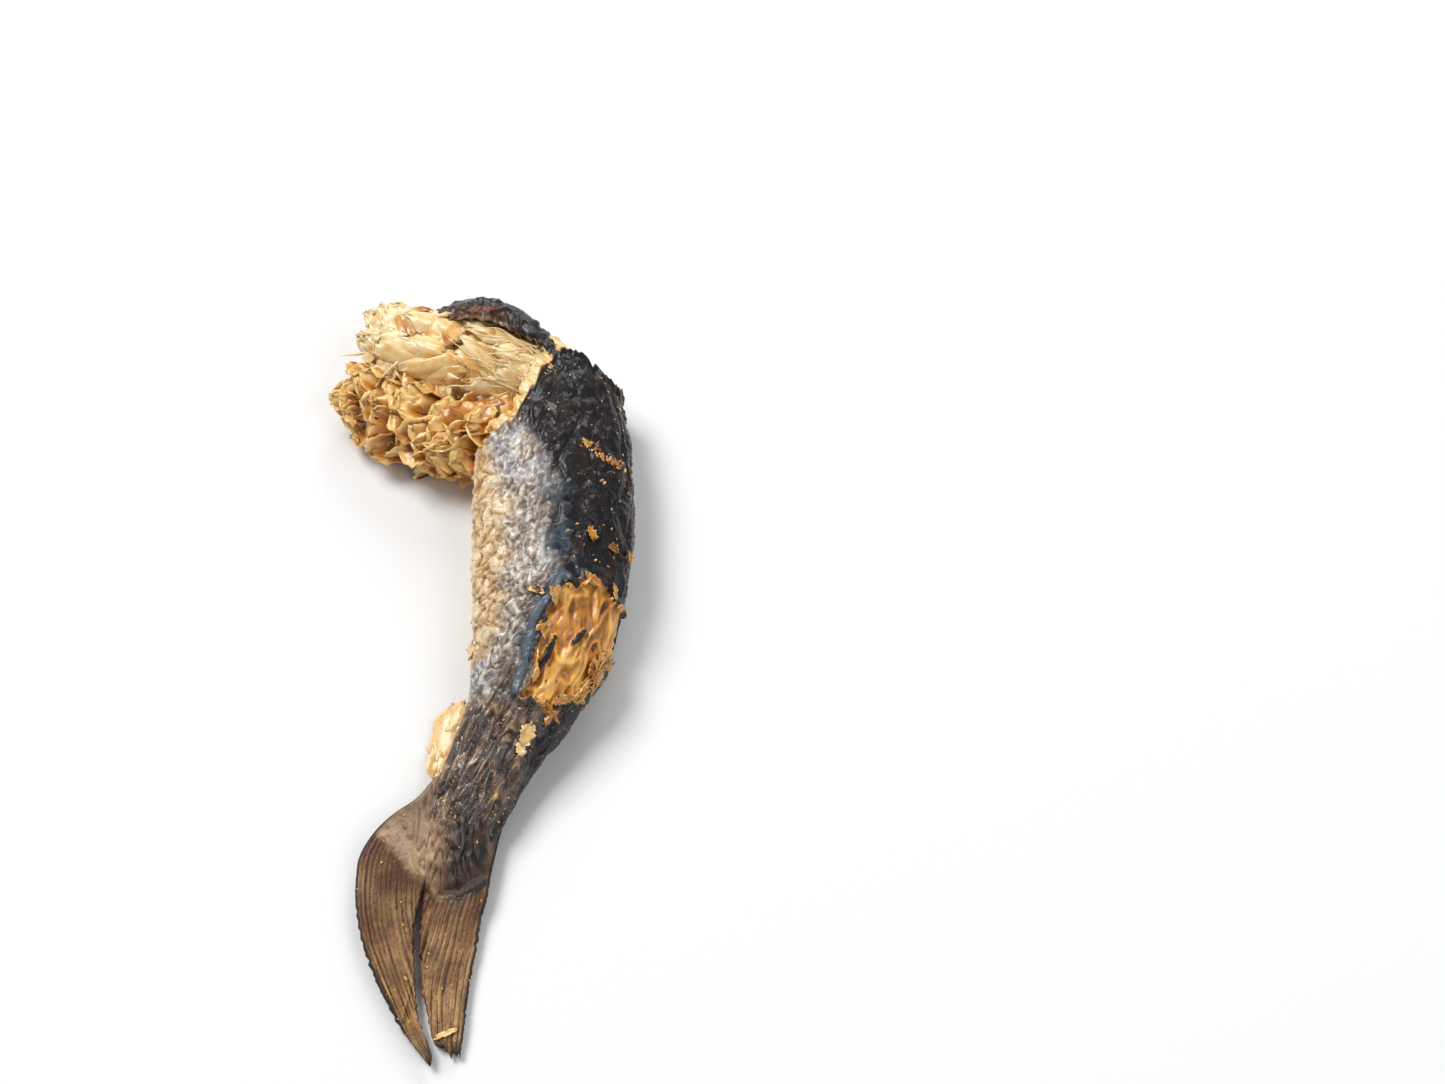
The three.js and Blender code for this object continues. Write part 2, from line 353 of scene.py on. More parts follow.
def skin_material():
    """Smoked skin: cream belly, silver flank, blue-grey shoulder, charred back, brown tail stalk, with painted
    shade in the wrinkles' grooves and painted highlights on their ridges.
    """
    g = Graph("smoked_skin")
    crease = g.attribute("crease")
    fine = g.noise(900, 4, 0.6)
    broad = g.noise(130, 4, 0.6)
    patches = g.noise(55, 3, 0.6)

    charred = g.ramp(broad, (0.3, (0.012, 0.012, 0.016)), (0.55, (0.022, 0.018, 0.019)),
                     (0.75, (0.05, 0.03, 0.021)))
    # Painted highlight: the charred back is lightened towards grey on its raised creases.
    charred = g.mix(g.ramp(crease, (0.5, 0.0), (1.0, 0.3)), charred, (0.07, 0.066, 0.072))
    # The blue-grey is the skin's own colour; the near black in the grooves between its creases is painted
    # shade.
    blue = g.mix(g.ramp(crease, (0.0, 0.0), (0.8, 1.0)), (0.014, 0.017, 0.023), (0.12, 0.15, 0.185))
    # The silver flank's own tan and grey sit in the middle stops; the dark brown in the grooves is painted
    # shade and the near white on the ridges is a painted highlight.
    silver = g.ramp(crease, (0.12, (0.06, 0.042, 0.03)), (0.4, (0.27, 0.21, 0.165)),
                    (0.66, (0.5, 0.425, 0.35)), (0.92, (0.88, 0.82, 0.73)))
    silver = g.mix(g.ramp(broad, (0.55, 0.0), (0.72, 0.5)), silver, (0.3, 0.17, 0.1))
    silver = g.mix(g.ramp(patches, (0.48, 0.0), (0.6, 0.4)), silver, (0.34, 0.4, 0.47))
    # The cream belly's own tan and gold sit in the middle stops; the brown in the grooves is painted shade and
    # the pale cream on the ridges is a painted highlight.
    cream = g.ramp(crease, (0.12, (0.3, 0.13, 0.035)), (0.45, (0.68, 0.42, 0.19)), (0.75, (0.88, 0.65, 0.38)),
                   (1.0, (0.97, 0.85, 0.62)))
    cream = g.mix(g.ramp(broad, (0.52, 0.0), (0.74, 0.5)), cream, (0.62, 0.3, 0.07))
    # The stalk's own brown sits in the middle stops; the near black in the grooves is painted shade and the
    # tan on the ridges is a painted highlight.
    stalk = g.ramp(crease, (0.1, (0.01, 0.007, 0.005)), (0.42, (0.05, 0.029, 0.017)),
                   (0.75, (0.155, 0.088, 0.046)), (1.0, (0.48, 0.31, 0.17)))
    stalk = g.mix(g.ramp(broad, (0.46, 0.0), (0.6, 0.7)), stalk, (0.06, 0.046, 0.05))
    meaty = g.ramp(broad, (0.3, (0.2, 0.08, 0.02)), (0.7, (0.6, 0.36, 0.12)))

    colour = g.mix(g.attribute("cream"), silver, cream)
    hairlines = g.math("ABSOLUTE", g.math("SUBTRACT", g.noise(330, 3, 0.6, 0.8), 0.5))
    # Painted shade: the colour darkens along the fine grooves that the bump cuts at the hairlines; away from
    # them it is lightened towards cream.
    colour = g.mix(g.ramp(hairlines, (0.0, 0.5), (0.018, 0.0)), colour, (0.1, 0.065, 0.045))
    colour = g.mix(g.ramp(hairlines, (0.1, 0.0), (0.15, 0.35)), colour, (0.85, 0.8, 0.72))
    for name, shade in (("stalk", stalk), ("dark", charred), ("blue", blue), ("rim", meaty)):
        colour = g.mix(g.attribute(name), colour, shade)
    colour = g.mix(g.ramp(fine, (0.28, 0.5), (0.38, 0.0)), colour, (0.014, 0.01, 0.008))
    roughness = g.ramp(fine, (0.35, 0.17), (0.7, 0.36))
    gloss = g.math("SUBTRACT", 0.4, g.times(g.attribute("dark"), 0.24))
    gloss = g.add(gloss, g.times(g.attribute("stalk"), 0.2))
    smooth = g.math("SUBTRACT", 1.0, g.times(g.attribute("dark"), 0.75))
    grooves = g.ramp(hairlines, (0.0, 0.0), (0.05, 1.0))
    height = g.times(g.add(g.times(fine, 0.5), g.times(grooves, 0.4)), smooth)
    return g.finish(colour, roughness, height, 0.32, Specular_IOR_Level=gloss, Coat_Weight=0.13,
                    Coat_Roughness=0.1)


def fin_material():
    """Dried fin: brown rays with dark grooves that are partly painted shade, tan towards the tips, blue-black
    outer edges, and painted shade along the edges at the slit between the lobes; the skin over its root has
    painted shade in its grooves and painted highlights on its cords.
    """
    g = Graph("dried_fin")
    ray, fine, broad = g.attribute("ray"), g.noise(1100, 4, 0.6), g.noise(130, 3, 0.6)
    streak = g.noise(1, 3, 0.6, vector=g.attribute("streak", vector=True))
    base = g.mix(g.attribute("tip"), g.ramp(streak, (0.3, (0.05, 0.018, 0.009)), (0.7, (0.2, 0.08, 0.033))),
                 g.ramp(streak, (0.3, (0.22, 0.105, 0.036)), (0.7, (0.62, 0.37, 0.15))))
    base = g.mix(g.ramp(broad, (0.4, 0.55), (0.56, 0.0)), base, (0.1, 0.034, 0.017))
    # Dark lines in the grooves between the rays, stronger towards the tips: partly the fin's own dark lines
    # and partly painted shade in the grooves.
    lines = g.add(ray, g.around(streak, 0.9))
    drawn = g.add(0.45, g.times(g.attribute("tip"), 0.55))
    lines = g.times(g.ramp(lines, (0.0, 0.95), (0.09, 0.8), (0.2, 0.0)), drawn)
    colour = g.mix(lines, base, (0.012, 0.008, 0.007))
    shade = g.ramp(g.attribute("shade"), (0.0, (0.54, 0.35, 0.205)), (0.4, (0.25, 0.15, 0.083)),
                   (0.95, (0.018, 0.016, 0.018)))
    shade = g.mix(g.ramp(broad, (0.45, 0.0), (0.6, 0.5)), shade, (0.1, 0.05, 0.028))
    # Skin over the fin's root: painted shade, near black, in the grooves between its cords, and a painted
    # highlight on their tops.
    skin = g.mix(g.ramp(g.attribute("crease"), (0.1, 0.8), (0.5, 0.0)), shade, (0.018, 0.012, 0.009))
    skin = g.mix(g.ramp(g.attribute("crease"), (0.65, 0.0), (1.0, 0.25)), skin, (0.36, 0.29, 0.22))
    colour = g.mix(g.attribute("skinned"), colour, skin)
    # The fin's own burnt dark at the outer edges and tips, and painted shade along the edges at the slit,
    # where the lobes meet.
    burnt_edge_and_slit_shade = g.ramp(streak, (0.3, (0.012, 0.01, 0.011)), (0.7, (0.045, 0.03, 0.026)))
    colour = g.mix(g.attribute("border"), colour, burnt_edge_and_slit_shade)
    skinned = g.attribute("skinned")
    specks = g.math("SUBTRACT", g.ramp(fine, (0.33, 0.6), (0.46, 0.0)), g.times(skinned, 0.4))
    colour = g.mix(specks, colour, (0.016, 0.011, 0.008))
    roughness = g.math("SUBTRACT", g.ramp(fine, (0.35, 0.36), (0.7, 0.6)), g.times(skinned, 0.16))
    height = g.add(fine, g.times(streak, 0.8))
    return g.finish(colour, roughness, height, 0.25, Specular_IOR_Level=0.27, Coat_Weight=0.08,
                    Coat_Roughness=0.15)


def meat_material(name, deep, middle, pale, wet=0.3):
    """Smoked meat: tone 0 is deep, as painted shade in a crevice, 0.5 the meat's middle colour, and 1 pale, as
    a painted highlight on a ridge; noise adds the meat's own variation.
    """
    g = Graph(name)
    fine, broad = g.noise(1300, 4, 0.6), g.noise(260, 3, 0.5)
    fibres = g.noise(1, 3, 0.6, vector=g.attribute("fibre", vector=True))
    tone = g.add(g.add(g.attribute("tone"), g.around(broad, 0.5)), g.around(fibres, 0.2))
    colour = g.ramp(tone, (0.05, deep), (0.5, middle), (0.9, pale))
    colour = g.mix(g.attribute("char"), colour, (0.04, 0.018, 0.008))
    colour = g.mix(g.ramp(fine, (0.28, 0.4), (0.34, 0.0)), colour, tuple(c * 0.5 for c in deep))
    height = g.add(g.times(fine, 0.3), g.times(fibres, 0.35))
    return g.finish(colour, g.ramp(broad, (0.35, 0.2), (0.7, 0.42)), height, 0.3,
                    Subsurface_Weight=0.22, Subsurface_Scale=0.7 * MM,
                    Subsurface_Radius=(0.9, 0.9, 0.8), Coat_Weight=wet, Coat_Roughness=0.1)


def strip_material():
    """Torn skin: purple-black outside, red-brown and glossy inside."""
    g = Graph("torn_skin")
    fine, broad = g.noise(900, 4, 0.6), g.noise(200, 3, 0.6)
    outside = g.ramp(broad, (0.3, (0.006, 0.005, 0.006)), (0.7, (0.03, 0.021, 0.021)))
    inside = g.ramp(broad, (0.35, (0.02, 0.006, 0.002)), (0.52, (0.09, 0.024, 0.006)),
                    (0.72, (0.36, 0.13, 0.03)))
    colour = g.mix(g.attribute("inside"), outside, inside)
    colour = g.mix(g.attribute("rim"), colour, (0.34, 0.2, 0.09))
    return g.finish(colour, g.ramp(fine, (0.35, 0.22), (0.7, 0.45)), fine, 0.4, Coat_Weight=0.3,
                    Coat_Roughness=0.2)


SKIN = skin_material()
FIN = fin_material()
PALE_MEAT = meat_material("pale_meat", (0.34, 0.1, 0.015), (0.82, 0.47, 0.14), (0.96, 0.77, 0.44))
AMBER_MEAT = meat_material("amber_meat", (0.07, 0.015, 0.002), (0.58, 0.22, 0.026), (0.95, 0.61, 0.21),
                           wet=0.45)
TEAR_MEAT = meat_material("tear_meat", (0.14, 0.035, 0.003), (0.68, 0.27, 0.025), (0.95, 0.58, 0.13), wet=0.5)
TORN_SKIN = strip_material()


# ---------------------------------------------------------------- the trunk
TRUNK_LOFT = Loft(TRUNK)
UPPER_COLUMNS, LOWER_COLUMNS, SKIN_ROWS, FACE_ROWS = 176, 84, 382, 44
AROUND = UPPER_COLUMNS + LOWER_COLUMNS
BELOW_EQUATOR = 0.22  # how far down, in radians, the closely spaced columns reach on each side
TABLE_GAP = 0.3  # meat stays this far above the table


def trunk_zones(straight, points, across):
    """Where each kind of skin lies: shares from 0 to 1 by distance across the flank and along the trunk."""
    y = points[:, 1]
    soft = fractal(straight / 7.0, 51, 3) * 0.11 + noise(straight / 1.8, 57) * 0.06
    cream_limit = np.interp(y, CREAM_Y, CREAM_LIMIT)
    dark_limit = np.interp(y, DARK_Y, DARK_LIMIT)
    cream = smooth_step(0.16, -0.12, across + soft - cream_limit)
    dark = smooth_step(-0.16, 0.2, across + soft - dark_limit)
    patchy = smooth_step(0.0, 0.3, fractal(straight / 6.0, 71, 2) + 0.2)
    blue = smooth_step(0.3, 0.08, np.abs(across - dark_limit - 0.12)) * patchy
    blue *= smooth_step(-20, -8, y) * smooth_step(56, 44, y)
    stalk = smooth_step(4, -12, y + 8 * noise(straight / 8, 75) - 14 * across) * (1 - 0.7 * dark)
    return {"cream": cream * (1 - 0.85 * stalk), "dark": dark, "blue": blue * 0.9, "stalk": stalk}


def skin_relief(straight, zones):
    """Height of the skin's wrinkles in millimetres, and how much of a raised crease each point is."""
    along, rest = straight[:, :1], straight[:, 1:] * [1, 0.6]
    bent = warped(np.hstack([along, rest]), 1.7, 4.4, 3)
    worms = 0.6 * swellings(bent / 3.1, 5, 2.4) + 0.4 * creases(bent * [0.6, 1, 1] / 2.1 + 9.1, 6, 1.2, 2.8)
    flow = warped(np.hstack([along / 1.15, rest]), 2.6, 5.0, 13)
    waves = 0.72 * swellings(flow / 3.9, 15, 2.6) + 0.28 * creases(flow / 2.1 + 4.7, 16, 1.2, 3.0)
    long_flow = warped(np.hstack([along / 4.6, straight[:, 1:]]), 1.9, 4.4, 23)
    cords = 0.66 * swellings(long_flow / 2.6, 25, 2.8) + 0.34 * creases(long_flow / 1.7 + 7.7, 26, 1.2, 3.0)
    folds = swellings(warped(np.hstack([along / 1.8, straight[:, 1:]]), 3.2, 9.0, 33) / 6.5, 35, 2.2)
    leather = creases(warped(straight, 1.8, 4.2, 41) / 3.0, 43, 1.4, 3.6)

    cream, dark, stalk = zones["cream"], zones["dark"], zones["stalk"]
    crease = worms * (1 - cream) * (1 - stalk) + waves * cream * (1 - stalk) + cords * stalk
    crease = crease * (1 - dark) + dark * (0.6 * leather + 0.25 * folds)
    height = (worms * (1 - cream) + 1.25 * waves * cream) * (1 - stalk) + cords * stalk
    stout = np.clip(TRUNK_LOFT.at(straight[:, 0])[0][:, 3] / 21, 0.25, 1)
    height = (height - 0.35) * (1 - dark) + dark * stout * (folds + 0.3 * leather - 0.4)
    height += 0.5 * fractal(straight / 9.0, 61, 2)
    return height, crease


def fold_strips(points, straight):
    """The blue-grey glossy folds that run along the tear's border."""
    wander = 0.5 * noise(straight / 3.0, 109)
    gaps = [segment_gap(points[:, :2], a, b)[0] for a, b in zip(FOLDS[:-1], FOLDS[1:])]
    return smooth_step(1.9, 0.7, np.min(gaps, 0) + wander) * (points[:, 2] > 12)


def sliver_mask(points):
    share = np.zeros(len(points))
    for start, end, width in SLIVERS:
        gap, t = segment_gap(points[:, :2], np.array(start), np.array(end))
        bulge = width * np.sin(np.pi * np.clip(t, 0.12, 0.88)) ** 0.7
        share = np.maximum(share, smooth_step(0.25, -0.25, gap - bulge))
    return share


def build_trunk():
    """The skin with its tear, and the torn face. Returns the skin's points, normals, angles and tear gap."""
    # More columns go on the side that shows than on the side pressed to the table.
    span = np.pi + 2 * BELOW_EQUATOR
    upper = -BELOW_EQUATOR + span * np.arange(UPPER_COLUMNS) / UPPER_COLUMNS
    lower = np.pi + BELOW_EQUATOR + (2 * np.pi - span) * np.arange(LOWER_COLUMNS) / LOWER_COLUMNS
    angle = np.concatenate([upper, lower])
    across = np.cos(angle)
    ring = np.stack([np.cos(angle), np.sin(angle), np.zeros(AROUND)], 1)
    torn_y = np.interp(across, TORN_EDGE_ACROSS, TORN_EDGE_Y)
    torn_y = torn_y + 1.8 * noise(ring * 7, 81) + 1.2 * noise(ring * 17, 83)
    torn_at = TRUNK_LOFT.along_at_y(torn_y)
    share = np.linspace(0, 1, SKIN_ROWS)[:, None]
    along = (TRUNK_LOFT.length + (torn_at - TRUNK_LOFT.length) * share).ravel()
    angles = np.tile(angle, SKIN_ROWS)
    points, straight = TRUNK_LOFT.surface(along, angles)
    rim_gap = np.abs(along - np.tile(torn_at, SKIN_ROWS))

    across_all, top = np.cos(angles), np.sin(angles) > -0.25
    zones = trunk_zones(straight, points, across_all)
    strips = fold_strips(points, straight)
    zones["blue"] = np.maximum(zones["blue"], strips)
    zones["dark"] = np.maximum(zones["dark"], strips)
    height, crease = skin_relief(straight, zones)
    height += strips
    crease = np.maximum(crease, 0.75 * strips)
    ragged = noise(straight / 2.6, 91) + 0.5 * noise(straight, 93)
    inside = np.where(top, signed_distance(TEAR, points[:, :2]) + ragged, -20)
    torn = smooth_step(-0.25, 0.3, inside)
    slivers = sliver_mask(points + ragged[:, None] * 0.25) * torn
    lumps = warped(np.hstack([straight[:, :1] / 2.2, straight[:, 1:]]), 2.8, 4.4, 101)
    ridges = creases(lumps / 3.8, 105, 1.0, 2.2)
    meat = ridges + 0.7 * fractal(lumps / 4.5, 103, 2)
    raised = 0.9 * smooth_step(-2.4, -0.4, inside) * (1 - torn)
    height = (height + raised) * (1 - torn) + (meat - 1.3) * torn
    height = height * (1 - slivers) + slivers * (0.4 + 0.3 * noise(straight / 2, 107))
    height += 0.6 * smooth_step(2.5, 0.3, rim_gap) * (1 - torn)
    flesh = torn * (1 - slivers)

    normals = grid_normals(points, SKIN_ROWS, AROUND, True)
    if (normals * (points - TRUNK_LOFT.at(along)[0][:, :3])).sum() < 0:
        normals = -normals
    points = points + normals * height[:, None]
    points[:, 2] = rest_on_table(points[:, 2])
    patches = smooth_step(0.0, 0.4, noise(straight / 2.4, 95))
    rim_share = smooth_step(-1.3, -0.2, inside) * (1 - torn) * patches
    rim_share = np.maximum(rim_share, smooth_step(1.2, 0.2, rim_gap) * smooth_step(0.3, -0.5, across_all))
    pores = smooth_step(0.5, 0.75, noise(straight / 1.5, 97)) * 0.8
    # Painted shade and highlight: the tear's meat is paler on its raised ridges and darker in its hollows.
    attributes = {"straight": straight * MM, "fibre": straight * [0.12, 0.9, 0.9], "crease": crease,
                  "rim": rim_share, "tone": 0.3 + 0.45 * meat, "char": pores}
    for key, values in zones.items():
        attributes[key] = np.where(slivers > 0.5, {"dark": 1.0}.get(key, 0.0), values)
    faces = grid_faces(SKIN_ROWS, AROUND, True)
    is_flesh = flesh[faces].mean(1) > 0.5
    piece = make_piece("trunk", (points, faces, attributes), [SKIN, TEAR_MEAT], is_flesh)
    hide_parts("tail_half")
    build_torn_face(points[-AROUND:])
    return points, normals, angles, inside


def rest_on_table(z):
    """Heights with the side that lies on the table pressed flat."""
    return np.maximum(np.where(z < 0.6, 0.12 * z + 0.53, z), 0.02)


def build_torn_face(rim):
    """The meat that closes the trunk's torn front end, inside its rim of skin."""
    inward = np.linspace(0, 1, FACE_ROWS)[:, None, None]
    face = (rim[None] * (1 - inward) + TORN_FACE_CENTRE * inward).reshape(-1, 3)
    depth = np.repeat(inward.ravel(), AROUND)
    sink = np.minimum(depth * 12, 1) * np.clip(1 - depth, 0, 1) ** 0.3
    flaky = creases(warped(face, 2.0, 5.0, 111) / np.array([3.4, 2.2, 3.4]), 113, 1.0, 2.4)
    sink = sink * (2.4 - 2.2 * flaky + 1.2 * noise(face / 4, 115))
    face = face + np.array([0.25, -0.9, 0.3]) * sink[:, None]
    face[:, 2] = rest_on_table(face[:, 2])
    # Painted shade and highlight: the torn face is paler on its raised flakes and darker where it sinks
    # between them.
    attributes = {"straight": face * MM, "fibre": face * [0.9, 0.2, 0.9], "tone": 0.2 + 0.6 * flaky}
    shape = face, grid_faces(FACE_ROWS, AROUND, True), attributes
    make_piece("torn_face", shape, [TEAR_MEAT], towards=(-0.5, 0.8, 0.2))


# ---------------------------------------------------------------- the tail fin
LEFT_EDGE = np.array([[-9, -34], [-14, -40.5], [-20.5, -45.6], [-26.1, -51.5], [-29.8, -57.9], [-30.6, -64.3],
                      [-30.3, -72.2], [-27.8, -83.9], [-23.4, -94.9], [-19.2, -102.6], [-14.3, -110.6],
                      [-9.4, -116.0], [-7.0, -118.2]], float)
SLIT_LEFT = np.array([[1, -36], [-3, -46], [-7, -58], [-10.5, -70], [-12.2, -79], [-12.0, -88],
                      [-11.3, -96.5], [-10.8, -102.6], [-9.4, -109.5], [-7.9, -114], [-6.6, -118.0]], float)
SLIT_RIGHT = np.array([[-1, -36], [-5, -46], [-9, -58], [-11.6, -70], [-12.2, -79], [-11.8, -88],
                       [-11.0, -96.5], [-9.2, -102.6], [-7.8, -107.5], [-6.7, -111.5], [-4.2, -112.6]], float)
RIGHT_EDGE = np.array([[16, -36], [13, -43], [11, -50], [9.4, -58.2], [8.3, -64.4], [7.4, -70.7], [5.8, -77],
                       [5.0, -83.9], [3.7, -91.7], [2.6, -101.8], [2.0, -110], [1.2, -116.8]], float)
SKIN_EDGE = np.array([[-60, -51], [-26, -51], [-20.3, -57.6], [-15.3, -63.3], [-8.9, -68.8], [-5.7, -71.8],
                      [0.5, -72.2], [6.6, -68], [30, -60]], float)
RAYS = 15.5  # rays across the root of a lobe


def along_curve(curve, t):
    """Points at equal steps of length along an outline."""
    fine = catmull_rom(curve, np.linspace(0, 1, 400))
    step = np.concatenate([[0], np.cumsum(np.linalg.norm(np.diff(fine, axis=0), axis=1))])
    return np.stack([np.interp(t * step[-1], step, fine[:, k]) for k in range(2)], 1)


def trunk_top(plan):
    """Height of the trunk's upper surface above points in plan, and how far across it they are."""
    spine = TRUNK_LOFT.rows[TRUNK_LOFT.rows[:, 1] < -25]
    heading = TRUNK_LOFT.heading[TRUNK_LOFT.rows[:, 1] < -25]
    nearest = ((plan[:, None] - spine[None, :, :2]) ** 2).sum(2).argmin(1)
    row, way = spine[nearest], heading[nearest]
    offset = plan - row[:, :2]
    across = (-way[:, 1] * offset[:, 0] + way[:, 0] * offset[:, 1]) / np.maximum(row[:, 3], 0.5)
    return row[:, 2] + row[:, 4] * np.sqrt(np.clip(1 - across ** 2, 0, 1)), across


def build_lobe(outer, inner, lift, seed, opening):
    """One lobe of the fin: rays fan from the root, and the inner ones end along the slit.

    lift raises the free end and opening moves the inner edge away from the other lobe's, in millimetres.
    """
    rows, columns = 210, 112
    t = np.linspace(0, 1, rows)
    r = np.linspace(0, 1, columns)
    a, b = along_curve(outer, t), along_curve(inner, t)
    b[:, 0] += opening * smooth_step(0.2, 0.45, t) * smooth_step(1.0, 0.75, t)
    plan = a[:, None] * (1 - r)[None, :, None] + b[:, None] * r[None, :, None]
    tt, rr = np.meshgrid(t, r, indexing="ij")
    tt, rr = tt.ravel(), rr.ravel()
    plan = plan.reshape(-1, 2)
    level = np.full(tt.size, seed)
    place = rr * (1.02 - 0.62 * smooth_step(0.1, 1.0, tt)) * RAYS
    place += 0.45 * noise(np.stack([place / 1.9, 0 * tt, level], 1), 119)
    place += 0.12 * noise(np.stack([place * 0.5, tt * 8, level], 1), 121)
    ray = 1 - np.abs(2 * (place % 1) - 1)
    split = (1 - np.abs(2 * ((place * 2 + 0.5) % 1) - 1)) * smooth_step(0.35, 0.7, tt)
    frayed = noise(np.stack([place * 1.3, 0 * tt, level], 1), 123)
    plan[:, 1] += smooth_step(0.72, 1.0, tt) * frayed * 5.5
    edge_gap = np.minimum(rr, 1 - rr)
    plan[:, 0] += (0.6 * noise(np.stack([plan[:, 1] / 1.6, rr * 3, level], 1), 125)
                   * smooth_step(0.15, 0.0, edge_gap) * smooth_step(0.3, 0.6, tt))

    height = np.interp(plan[:, 1], [-119, -100, -80, -60, -46, -34], [2.3, 2.9, 3.9, 5.2, 6.0, 6.6])
    wave = np.stack([plan[:, 0] / 14, plan[:, 1] / 20, level], 1)
    height += lift * smooth_step(-62, -84, plan[:, 1]) + 1.1 * noise(wave, 127)
    inland = smooth_step(0.0, 0.22, rr)
    half = (0.5 + 0.6 * smooth_step(-118, -60, plan[:, 1])) * (0.4 + 0.6 * inland)
    flat3 = np.hstack([plan / 3.0, level[:, None]])
    edge_y = np.interp(plan[:, 0], SKIN_EDGE[:, 0], SKIN_EDGE[:, 1])
    beyond = plan[:, 1] - edge_y + 1.6 * noise(flat3, 129) + 0.7 * noise(flat3 * 3, 130)
    skinned = smooth_step(-1.6, 1.4, beyond)
    straight = np.stack([-plan[:, 1], plan[:, 0], 0 * tt], 1)
    stripes = np.stack([beyond / 2.1, plan[:, 0] / 7, level], 1)
    core, across = trunk_top(plan)
    over_core = smooth_step(1.9, 0.9, np.abs(across))
    bands = warped(straight * [0.25, 1, 1], 1.4, 4.0, 132)
    strands = 0.7 * swellings(bands / 2.2, 134, 3.0) + 0.3 * creases(bands / 1.3, 136, 1.2, 3.0)
    cords = 0.1 + 0.8 * swellings(warped(stripes, 0.7, 1.5, 131), 133, 2.6)
    cords = cords * (1 - over_core) + strands * over_core
    relief = (0.16 + 0.22 * smooth_step(0.1, 0.5, tt)) * smooth_step(0.0, 0.4, ray) + 0.2 * split
    relief += 0.12 * noise(np.stack([place * 2, tt * 60, level], 1), 135)
    relief = relief * (1 - skinned) + skinned * inland * (0.5 + 0.5 * over_core) * (0.9 * cords + 0.2)
    rim = np.sqrt(np.clip(edge_gap / 0.04, 0, 1)) * np.sqrt(np.clip((1 - tt) / 0.012, 0, 1))
    top_z = height + (half + relief) * rim
    # The skin of the stalk spreads over the root of the fin and covers the end of the trunk.
    blend = np.exp(-np.maximum(np.abs(across) - 1, 0) * 1.6) * smooth_step(-76, -62, plan[:, 1])
    cover = np.interp(plan[:, 1], [-75, -60, -52, -44, -34], [0.9, 0.9, 0.5, -1.2, -3.0])
    cover += 0.7 * noise(flat3, 139) - 9 * (1 - inland)
    core_z = np.where(np.abs(across) < 1, core + cover + 0.9 * (cords - 0.3) * skinned, 0)
    top_z += blend * 1.8 * inland
    top_z = np.logaddexp(top_z / 0.5, core_z / 0.5) * 0.5
    bottom_z = np.maximum(height - (half + 0.8 * relief) * rim - 0.8 * blend * inland, 0.15)
    top, bottom = np.column_stack([plan, top_z]), np.column_stack([plan, np.minimum(bottom_z, top_z - 0.1)])
    wide = 0.05 + (0.3 if seed == 1 else 0.03) * smooth_step(0.45, 1.0, tt) + 0.03 * frayed
    border = smooth_step(wide, wide / 3, rr) * smooth_step(0.14, 0.2, tt)
    border = np.maximum(border, smooth_step(0.93, 0.99, tt + 0.03 * frayed) * 0.85)
    # Painted shade: both lobes are darkened along their edge at the slit, where the gap between them lies.
    border = np.maximum(border, smooth_step(0.95, 1.0, rr) * smooth_step(0.3, 0.45, tt) * 0.8)
    # The skin is tan on the belly's side, has dark folds towards the back, and is brown at its very edge.
    wander = plan[:, 0] + 1.6 * noise(flat3, 143)
    shade = 0.95 * smooth_step(-9, 0, wander) * (1 - 0.45 * smooth_step(5, 9, wander)) + 0.12
    shade = np.maximum(shade, 0.4 * smooth_step(-56, -44, plan[:, 1] + 3 * noise(flat3 / 2, 141)))
    shade = np.maximum(shade, 0.6 * smooth_step(0.16, 0.02, rr))
    tip = np.clip((tt - 0.3) / 0.5 + 0.35 * noise(wave * 2, 137), 0, 1)
    attributes = {"straight": straight * MM, "streak": np.stack([place * 2.2, tt * 7, level * 3.1], 1),
                  "ray": ray, "crease": cords, "skinned": skinned, "border": border,
                  "shade": np.clip(shade, 0, 1), "tip": tip}
    both = {key: np.concatenate([values, values]) for key, values in attributes.items()}
    return np.vstack([top, bottom]), shell_faces(rows, columns), both


def build_fin():
    """The two lobes. Returns the points of their upper faces."""
    lobes = [build_lobe(LEFT_EDGE, SLIT_LEFT, 0.9, 1.0, -0.7),
             build_lobe(RIGHT_EDGE, SLIT_RIGHT, -0.2, 2.0, 0.6)]
    for name, lobe in zip(("fin_lower_lobe", "fin_upper_lobe"), lobes):
        make_piece(name, lobe, [FIN])
    return np.concatenate([points[:len(points) // 2] for points, _, _ in lobes])


# ---------------------------------------------------------------- sheets and strands
def drawn(rng, count, *measures):
    """Each measure as a column of values, one for each flake or fibre. A pair (low, high) is drawn."""
    values = [rng.uniform(*v, count) if isinstance(v, tuple) else v for v in measures]
    return [np.broadcast_to(v, count)[:, None] for v in values]


